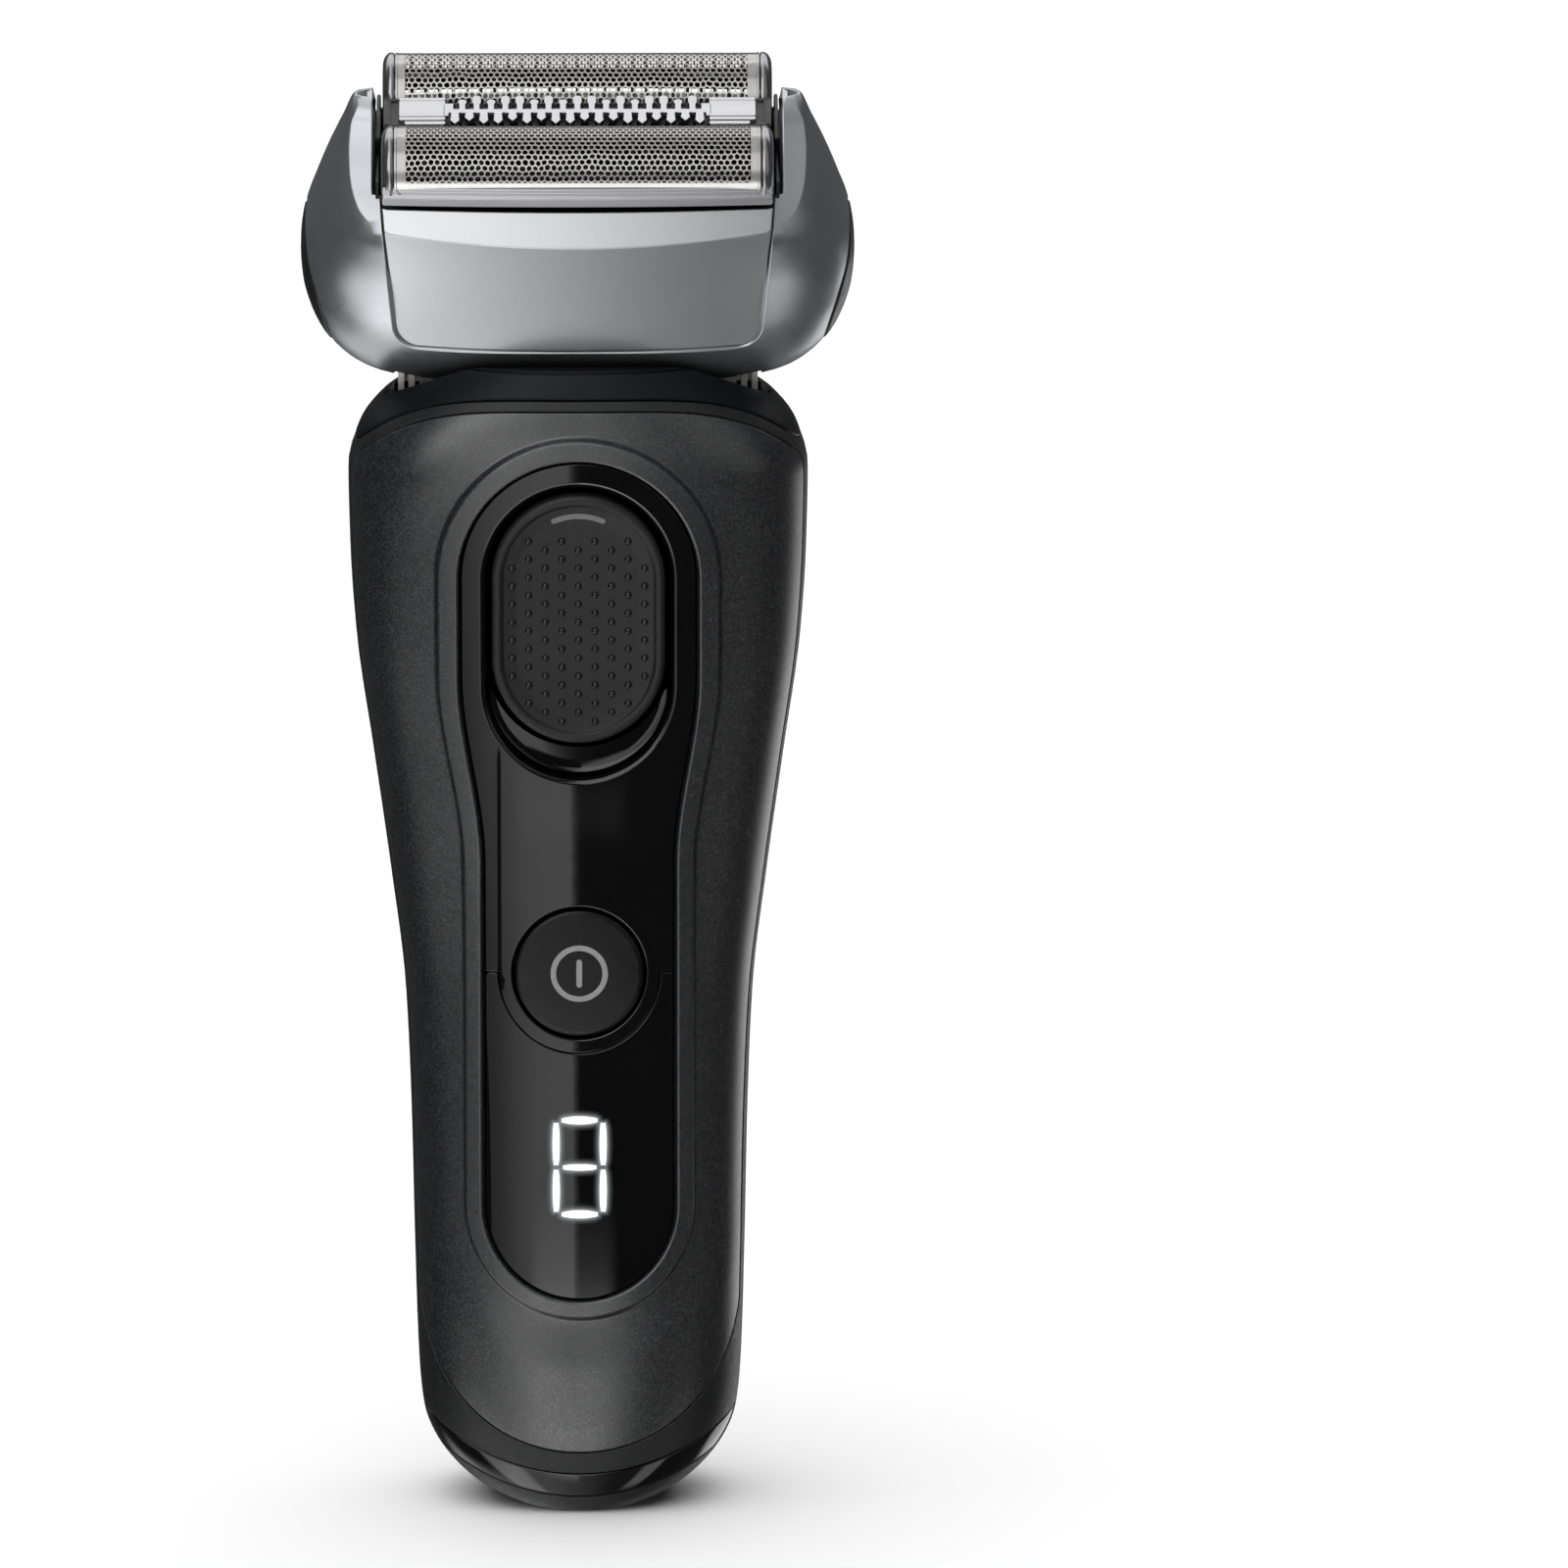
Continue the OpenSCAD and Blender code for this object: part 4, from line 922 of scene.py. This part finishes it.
hole_r = oval_hole(9.6, 7.9)
hole_l = (hole_r * [-1, 1] - [math.pi * TURN, 0])[::-1]

CREASE = monotone([6.4, 7.2, 8.6, 11, 13, 15, 16.6, 17.6], [21.5, 23.2, 25.1, 26.05, 26.2, 26.0, 25.3, 24.7])


def strip_depth(x, z):
    """Depth of the narrow band down the front of each arm, inside its crease."""
    return depth(HEAD_FORM, CREASE(z), z) + .34 * (CREASE(z) - np.abs(x))


def head_faceted(p, q):
    """The head, with the front of its arms cut back to the narrow bands."""
    pos = head(p, q)
    x, y, z = pos[..., 0], pos[..., 1], pos[..., 2]
    limit = np.where((np.abs(x) < CREASE(z)) & (z > 6.4), strip_depth(x, z), 99)
    return pack(x, np.sign(y) * np.minimum(np.abs(y), limit), z)


guides = []
for s in (-1, 1):
    for back in (False, True):
        for g in (-.14, 0, .14):
            zs = np.arange(7.45, 17.3, .3)
            xs = s * (CREASE(zs) + g)
            keep = (np.abs(xs) > X_IN + .3) & (np.abs(xs) < T_WIDE(zs) * .995)
            line = on_head(pack(xs[keep], zs[keep]), back)
            guides.append(before(line) if back and s < 0 else line)
for s in (-1, 1):
    for z in (17.2, 16.8, 16.3, 15.7, 15.0):
        at_front, at_back = (on_head([(s * (X_IN + .45), z)], back)[0, 0] for back in (False, True))
        ends = (at_front, at_back) if s > 0 else (at_back - ROUND, at_front)
        guides.append(pack(np.linspace(*ends, 24), z))
head_skin = plate(head_faceted, [loop, hole_r, hole_l], r=[.22, .2, .2], depth=1.3, pitch=.8, rings=guides, k=5,
                  bores={1: (1, 0, 0), 2: (-1, 0, 0)})
zs = np.linspace(-11, 17.3, 60)
edge_y = np.minimum(depth(HEAD_FORM, X_IN, zs), np.where(zs > 7.2, strip_depth(X_IN, zs), 99)) - .3
edge_y = np.where(zs < 9.6, np.minimum(edge_y, 11.4), edge_y)
poly = np.vstack([pack(edge_y, zs), pack(-edge_y, zs)[::-1]])
cheek = plate(lambda p, q: pack(X_IN + .02, -p, q),
              [even((poly * [-1, 1])[::-1], .8)], r=.1, depth=.6, pitch=2.0)
cap_loop = np.vstack([pack(np.linspace(-18, 18, 50), -3.2), pack(np.linspace(18, -18, 50), 3.2)])
belly = plate(lambda p, q: pack(p, -q, -17.2), [cap_loop], r=.2, depth=1.0, pitch=2.0)
build("head_shell", turned(together([head_skin, cheek, mirrored(cheek), belly])), "gunmetal", "head",
      ["head_frame"])


# ---------------- front and rear panels of the head
CREASE_Y, CREASE_Z = -17.9, 6.6  # where the panel's main face meets its bevel, in the middle
MAIN_SLOPE, BEVEL_SLOPE = math.tan(math.radians(6.8)), math.tan(math.radians(39.5))


def panel_y(x, z):
    main = CREASE_Y - (z - CREASE_Z) * MAIN_SLOPE + x * x / 228 - .42 * ((z + .5) / 7.1) ** 2 + .42
    bevel = CREASE_Y + (z - CREASE_Z) * BEVEL_SLOPE + x * x / 500
    d = main - bevel
    return (main + bevel) / 2 + np.sqrt(d * d + .03**2) / 2


def panel_surface(p, q):
    return pack(p, panel_y(p, q), q)


xs = np.linspace(-21.5, 21.5, 90)
crease = CREASE_Z + (xs**2 / 228 - xs**2 / 500) / (BEVEL_SLOPE + MAIN_SLOPE)
guides = [pack(xs, crease + g) for g in (-.5, -.2, -.07, 0, .07, .2, .5)]
panel_loop = np.vstack([trapezoid(-.02), path(.5, (-22.33, 9.9), (22.33, 9.9))[1:-1]])[::-1]
front = plate(panel_surface, [panel_loop], r=.2, depth=1.5, pitch=.9, rings=guides, k=5)
build("front_panel_skin", turned(front), "panel_silver", "head", ["front_panel"])
build("rear_panel_skin", turned(spun(front)), "panel_silver", "head", ["rear_panel"])

# ---------------- release buttons
side_head = lifted(head, lambda p, q: .06)
pad_r = plate(side_head, [oval_hole(9.4, 7.7)[::-1]], r=.45, depth=2.0, pitch=.8, k=5)
build("release_right_button", turned(pad_r), "button_rubber", "release_right", ["release_right"])
build("release_left_button", turned(mirrored(pad_r)), "button_rubber", "release_left", ["release_left"])


# ---------------- foils: perforated arches, their margins, edges and end caps
def arch(u, s, r=FOIL_R):
    """From u along the head and s round the arch, in millimetres from its top, towards the back positive."""
    w = s / FOIL_R
    return pack(u, -FOIL_Y + r * np.sin(w), FOIL_Z + r * np.cos(w))


def foil(seed, loose):
    """The perforated field: six-sided holes, each pushed about by chance where loose is above 0."""
    rng = np.random.default_rng(seed)
    pitch, web = .72, .14
    row = pitch * .866
    u0, s0 = 19.6, -7.1
    rows_n, cols_n = int(-2 * s0 / row), int(2 * u0 / pitch)
    centres = {}
    for i in range(-1, rows_n + 2):
        for j in range(-1, cols_n + 2):
            u = -u0 + (j + (i % 2) / 2) * pitch
            s = s0 + i * row
            w = loose(u, s)
            centres[i, j] = np.array([u, s]) + rng.normal(0, 1, 2) * .085 * w

    def corner(a, b, c):
        return (centres[a] + centres[b] + centres[c]) / 3

    verts, faces, normals, index = [], [], [], {}

    def add(us, radius=FOIL_R):
        verts.append(arch(us[0], us[1], radius))
        w = us[1] / FOIL_R
        normals.append(np.array([0, math.sin(w), math.cos(w)]))
        return len(verts) - 1

    def shared(key):
        if key not in index:
            index[key] = add(corner(*key))
        return index[key]

    for i in range(rows_n + 1):
        for j in range(cols_n + 1):
            o = i % 2
            around_cell = [(i, j + 1), (i + 1, j + o), (i + 1, j - 1 + o),
                           (i, j - 1), (i - 1, j - 1 + o), (i - 1, j + o)]
            if any(c not in centres for c in around_cell):
                continue
            corners = [tuple(sorted([(i, j), around_cell[m], around_cell[(m + 1) % 6]])) for m in range(6)]
            ring_ids = [shared(key) for key in corners]
            pts = [corner(*key) for key in corners]
            centre = sum(pts) / 6
            size = 1 - web / pitch * (1 + .25 * rng.random() * loose(*centre))
            hole = []
            for m in range(6):
                a, b = pts[m], pts[(m + 1) % 6]
                hole += [centre + (e - centre) * size for e in (a * .74 + b * .26, a * .26 + b * .74)]
            top_ids = [add(h) for h in hole]
            low_ids = [add(h, FOIL_R - .09) for h in hole]
            for m in range(6):
                n1, n2, n0 = top_ids[2 * m], top_ids[2 * m + 1], top_ids[2 * m - 1]
                faces.append((ring_ids[m], ring_ids[(m + 1) % 6], n2, n1))
                faces.append((ring_ids[m], n1, n0))
            for m in range(12):
                faces.append((top_ids[m], top_ids[(m + 1) % 12], low_ids[(m + 1) % 12], low_ids[m]))
    return np.array(verts), faces, np.array(normals)


def foil_sheet(extra):
    """The arch and its straight lower edges, extra millimetres outside the foil."""
    def surf(p, q):
        w = np.clip(q / FOIL_R, -math.pi / 2, math.pi / 2)
        below = np.maximum(np.abs(q) - FOIL_R * math.pi / 2, 0)
        return pack(p, -FOIL_Y + (FOIL_R + extra) * np.sin(w), FOIL_Z + (FOIL_R + extra) * np.cos(w) - below)
    return surf


half_arch = FOIL_R * math.pi / 2
# the plain margin round the perforated field
hi = half_arch + .72
field = even(rounded([(-19.55, -6.95), (-19.55, 6.85), (19.75, 6.85), (19.75, -6.95)], .3), .5)
margin = plate(foil_sheet(.012), [rectangle(-20.9, -hi, 20.9, hi, 1.6), field],
               r=.05, depth=.12, pitch=1.0, k=3)
# the bright formed edge of the sheet
hi = half_arch + .66
field = even(rounded([(-20.6, -hi + .34), (-20.6, hi - .34), (20.6, hi - .34), (20.6, -hi + .34)], 1.2), .4)
bead = plate(foil_sheet(.06), [rectangle(-20.95, -hi, 20.95, hi, 1.5, .4), field], r=.1, depth=.12, pitch=.8)
for name, seed, spin, loose in (
    ("front", 7, False, lambda u, s: float(smooth((-s - .5) / 4.5))),
    ("rear", 11, True, lambda u, s: float(smooth((s - .5) / 3.0)) * .9 + .1),
):
    parts = [turned(spun(p) if spin else p) for p in (foil(seed, loose), margin, bead)]
    build(f"foil_{name}_mesh", parts, "foil_steel", f"foil_{name}", [f"foil_{name}"])


# an end cap: a swept arch with a rounded outer edge and a closed end, from (x, radius)
w = np.linspace(-REACH, REACH, 60)
cap = grid_part(np.array([pack(x, -FOIL_Y + r * np.sin(w), FOIL_Z + r * np.cos(w)) for x, r in (
    (20.97, 4.9), (20.98, 5.06), (21.06, 5.2), (21.2, 5.28), (21.4, 5.3), (21.6, 5.26), (21.8, 5.15),
    (22, 4.97), (22.18, 4.7), (22.3, 4.4), (22.38, 4), (22.4, 3.4), (22.4, .05))]), closed=False)
for name, spin in (("front", False), ("rear", True)):
    parts = [turned(spun(p) if spin else p) for p in (cap, flipped(cap, -1, 1, 1))]
    build(f"foil_caps_{name}_ends", parts, "cap_grey", f"foil_{name}", [f"foil_caps_{name}"], angle=50)


# ---------------- cassette trim and frame
def trim_surface(p, q):
    y = -15.1 + p * p / 900 + .20 * smooth((q - 11.55) / .18) + .25 * smooth((q - 12.2) / .5)
    return pack(p, y, q)


trim_loop = rectangle(-22.3, 10.42, 22.3, 12.66, .3)
guides = [pack(np.arange(-22, 22.1, .5), z) for z in (11.1, 11.4, 11.52, 11.64, 11.76, 11.9, 12.1, 12.3)]
trim = plate(trim_surface, [trim_loop], r=.14, depth=.35, pitch=.5, rings=guides, k=4)
build("cassette_trim_strips", [turned(trim), turned(spun(trim))], "trim_silver", "cassette", ["cassette_trim"])


def box_part(x0, x1, y0, y1, z0, z1, r=.12):
    """A solid bar along x with rounded edges."""
    x0, x1 = sorted((x0, x1))
    o = rounded([(y0, z0), (y1, z0), (y1, z1), (y0, z1)], r)
    centre = o.mean(0)
    rows = []
    for x, full in ((x0, .97), (x0 + r * .35, .99), (x0 + r, 1), (x1 - r, 1), (x1 - r * .35, .99), (x1, .97)):
        pts = centre + (o - centre) * full
        rows.append(pack(x, pts[:, 0], pts[:, 1]))
    v, f, _ = grid_part(np.array(rows))
    m = len(o)
    return v, f + [tuple(range(m))[::-1], tuple(range(len(v) - m, len(v)))], None


frame_bits = [box_part(*size) for size in (
    (-23.05, 23.05, -11.05, -10.45, 3.65, 9.95), (-23.05, 23.05, 10.45, 11.05, 3.65, 9.95),
    (-23.1, -22.62, -11.05, 11.05, 3.65, 11.6), (22.62, 23.1, -11.05, 11.05, 3.65, 11.6),
    (-23.0, -4.9, -11.0, 11.0, 3.65, 4.85), (4.9, 23.0, -11.0, 11.0, 3.65, 4.85),
    (-22.55, -23.2, -3.6, 3.6, 11.0, 13.4, .3), (22.55, 23.2, -3.6, 3.6, 11.0, 13.4, .3))]
build("cassette_frame_shell", [turned(b) for b in frame_bits], "cassette_black", "cassette",
      ["cassette_frame"], angle=35)

# ---------------- middle trimmer: holder, comb, end plates
holder = [box_part(-22.2, 22.2, -3.45, 3.45, 8.8, 13.6, .25)]
for s in (-1, 1):
    holder += [box_part(s * x0, s * x1, *size) for x0, x1, *size in (
        (15.3, 21.9, -3.3, 3.3, 13.2, 14.8, .2), (20.6, 22.2, -3.5, -2.7, 13.2, 15.0, .25),
        (20.6, 22.2, 2.7, 3.5, 13.2, 15.0, .25), (21.4, 22.2, -3.5, 3.5, 13.2, 15.0, .25))]
build("trimmer_holder_body", [turned(b) for b in holder], "cassette_black", "mid_trimmer",
      ["trimmer_holder"], angle=35)

COMB_TOP = 15.3


def comb_plane(p, q):
    return pack(p, q, COMB_TOP)


pitch = 1.65
shape = [(-15.4, -1.5), (-14.75, -1.5), (-14.75, -.75)]
for i in range(-9, 9):
    x = (i + .5) * pitch
    tip = -3.45 if (i + 9) % 5 in (0, 2, 3) else -2.75
    side_of = [(.45, -.75), (.50, tip + 1.15), (.56, tip + .85), (.16, tip + .12)]
    shape += [(x - w, y) for w, y in side_of] + [(x, tip)] + [(x + w, y) for w, y in side_of[::-1]]
shape += [(14.75, -.75), (14.75, -1.5), (15.4, -1.5), (15.4, 1.5), (14.2, 1.5), (14.2, .1)]
for i in range(8, -9, -1):
    x = i * pitch
    tip = 3.45 if (i + 9) % 5 in (0, 2, 4) else 2.5
    shape += [(x + .36, .1), (x + .36, 1.3), (x + .52, 1.9)] + [
        (x + .52 * math.cos(a), tip - .52 + .52 * math.sin(a)) for a in np.radians(np.linspace(0, 180, 9))] + [
        (x - .52, 1.9), (x - .36, 1.3), (x - .36, .1)]
shape += [(-14.2, .1), (-14.2, 1.5), (-15.4, 1.5)]
teeth = plate(comb_plane, [even(rounded(shape, .08, 3), .35)], r=.07, depth=.42, pitch=.5, k=3)
ends = []
for s in (-1, 1):
    for y0, y1, lift in ((-3.35, -2.62, -.12), (-2.45, -1.75, -.03), (-1.6, 2.2, .0), (2.4, 3.1, -.06)):
        a, b = sorted((s * 15.1, s * (20.45 if y0 > -3 else 19.8)))
        ends.append(plate(lambda p, q: pack(p, q, COMB_TOP + lift), [rectangle(a, y0, b, y1, .18)],
                          r=.1, depth=.45, k=3))
build("trimmer_comb_plate", [turned(e) for e in [teeth, *ends]], "comb_steel", "mid_trimmer", ["trimmer_comb"])


# ---------------- stage: floor, studio reflections, lights, camera
def stage_piece(name, points, faces, finish):
    mesh = bpy.data.meshes.new(name)
    mesh.from_pydata(points, [], faces)
    obj = show(name, mesh, finish)
    return obj


paint, nt = blank("floor_white")
white = put(nt, "BsdfPrincipled", {"Base Color": (.86, .86, .86, 1), "Roughness": .9, "Specular IOR Level": .1})
put(nt, "OutputMaterial", {0: white.outputs[0]})
floor = stage_piece("floor", [(-6, -6, 0), (6, -6, 0), (6, 6, 0), (-6, 6, 0)], [(0, 1, 2, 3)], paint)
floor.visible_glossy = False


def soft(v, a, b, w):
    """1 between a and b, easing to 0 over w outside."""
    return smooth((v - a) / w + 1) * smooth((b - v) / w + 1)


def studio(az, el):
    """The studio's brightness at an azimuth, positive to the right of the front, and an elevation."""
    side = np.sin(np.radians(az)) * np.cos(np.radians(el))
    table = (.08 + .96 * smooth((.3 - side) / .6)) * soft(side, -.52, .4, .14)
    strip = .4 + 1.0 * smooth((az + 36) / 36)
    overhead = .9 * (1.5 - smooth(side / .3 + .5))
    v = np.full_like(az, .05)
    for strength, across, (az0, az1, az_edge), (el0, el1, el_edge) in (
        (table, az, (-180, 180, 1), (-88, -40, 12)),        # pale table in front, darker to the right
        (strip, az, (-36, -.42, .3), (-34, 9, 9)),          # left of the camera, with a hard right edge
        (2.8, az, (-8, 3, 6), (-32, -20, 5)),               # its bright lower end
        (1.7, az, (-76, -44, 14), (-58, -32, 12)),          # card low on the left
        (1.4, az, (48, 62, 9), (-54, -34, 9)),              # card low on the right
        (1.5, az, (132, 156, 9), (-34, -12, 7)),            # edge light on the right
        (2.3, az, (-44, -4, 14), (16, 56, 10)),             # softbox above the camera
        (.42, az, (26, 66, 14), (8, 60, 12)),               # dimmer one to its right
        (overhead, az, (-180, 180, 1), (68, 90, 8)),        # overhead, from the left
        (1.5, np.abs(az), (130, 180, 14), (30, 66, 8)),     # behind, above, on both sides
    ):
        v += strength * soft(across, az0, az1, az_edge) * soft(el, el0, el1, el_edge)
    return v


rows, cols = 120, 1440
DOME_R, DOME_Z = 3.0, .09
el = np.radians(np.linspace(-90, 90, rows + 1))
az = np.radians(np.linspace(-180, 180, cols, endpoint=False))
E, A = np.meshgrid(el, az, indexing="ij")
pos = pack(np.sin(A) * np.cos(E), -np.cos(A) * np.cos(E), np.sin(E)) * DOME_R
v, f, _ = grid_part(pos)
glow_paint, nt = blank("studio_glow")
shown = put(nt, "Emission", {"Color": put(nt, "Attribute", attribute_name="glow").outputs["Color"]})
put(nt, "OutputMaterial", {0: shown.outputs[0]})
dome = stage_piece("studio", [tuple(c) for c in v + np.array([0, 0, DOME_Z])], f, glow_paint)
paint_glow(dome, studio(np.degrees(A).ravel(), np.degrees(E).ravel()))
dome.visible_camera = dome.visible_diffuse = dome.visible_shadow = dome.visible_transmission = False

world = bpy.data.worlds.new("world")
bpy.context.scene.world = world
world.use_nodes = True
background = world.node_tree.nodes["Background"]
background.inputs["Color"].default_value, background.inputs["Strength"].default_value = (1, 1, 1, 1), 1.0
world.cycles_visibility.glossy = world.cycles_visibility.diffuse = False


def sun(name, az, el, strength, spread):
    """A soft light from an azimuth left or right of the camera, and an elevation."""
    d = bpy.data.lights.new(name, "SUN")
    d.energy, d.angle = strength, math.radians(spread)
    o = show(name, d)
    a, e = math.radians(az), math.radians(el)
    towards = Vector((math.sin(a) * math.cos(e), -math.cos(a) * math.cos(e), math.sin(e)))
    o.rotation_euler = towards.to_track_quat("Z", "Y").to_euler()
    o.visible_glossy = False


sun("key", -34, 60, 1.3, 76)
sun("overhead", 180, 70, 3.1, 100)

cam = bpy.data.cameras.new("camera")
cam.lens, cam.sensor_width = 396.85, 36
cam.clip_start, cam.clip_end = .01, 50
camera = show("camera", cam)
camera.location = (0, -1.9665, .4479)
aim = Vector((.02374, 0, .0834))
camera.rotation_euler = (aim - Vector(camera.location)).to_track_quat("-Z", "Y").to_euler()
bpy.context.scene.camera = camera
bpy.context.scene.view_settings.view_transform = "Standard"
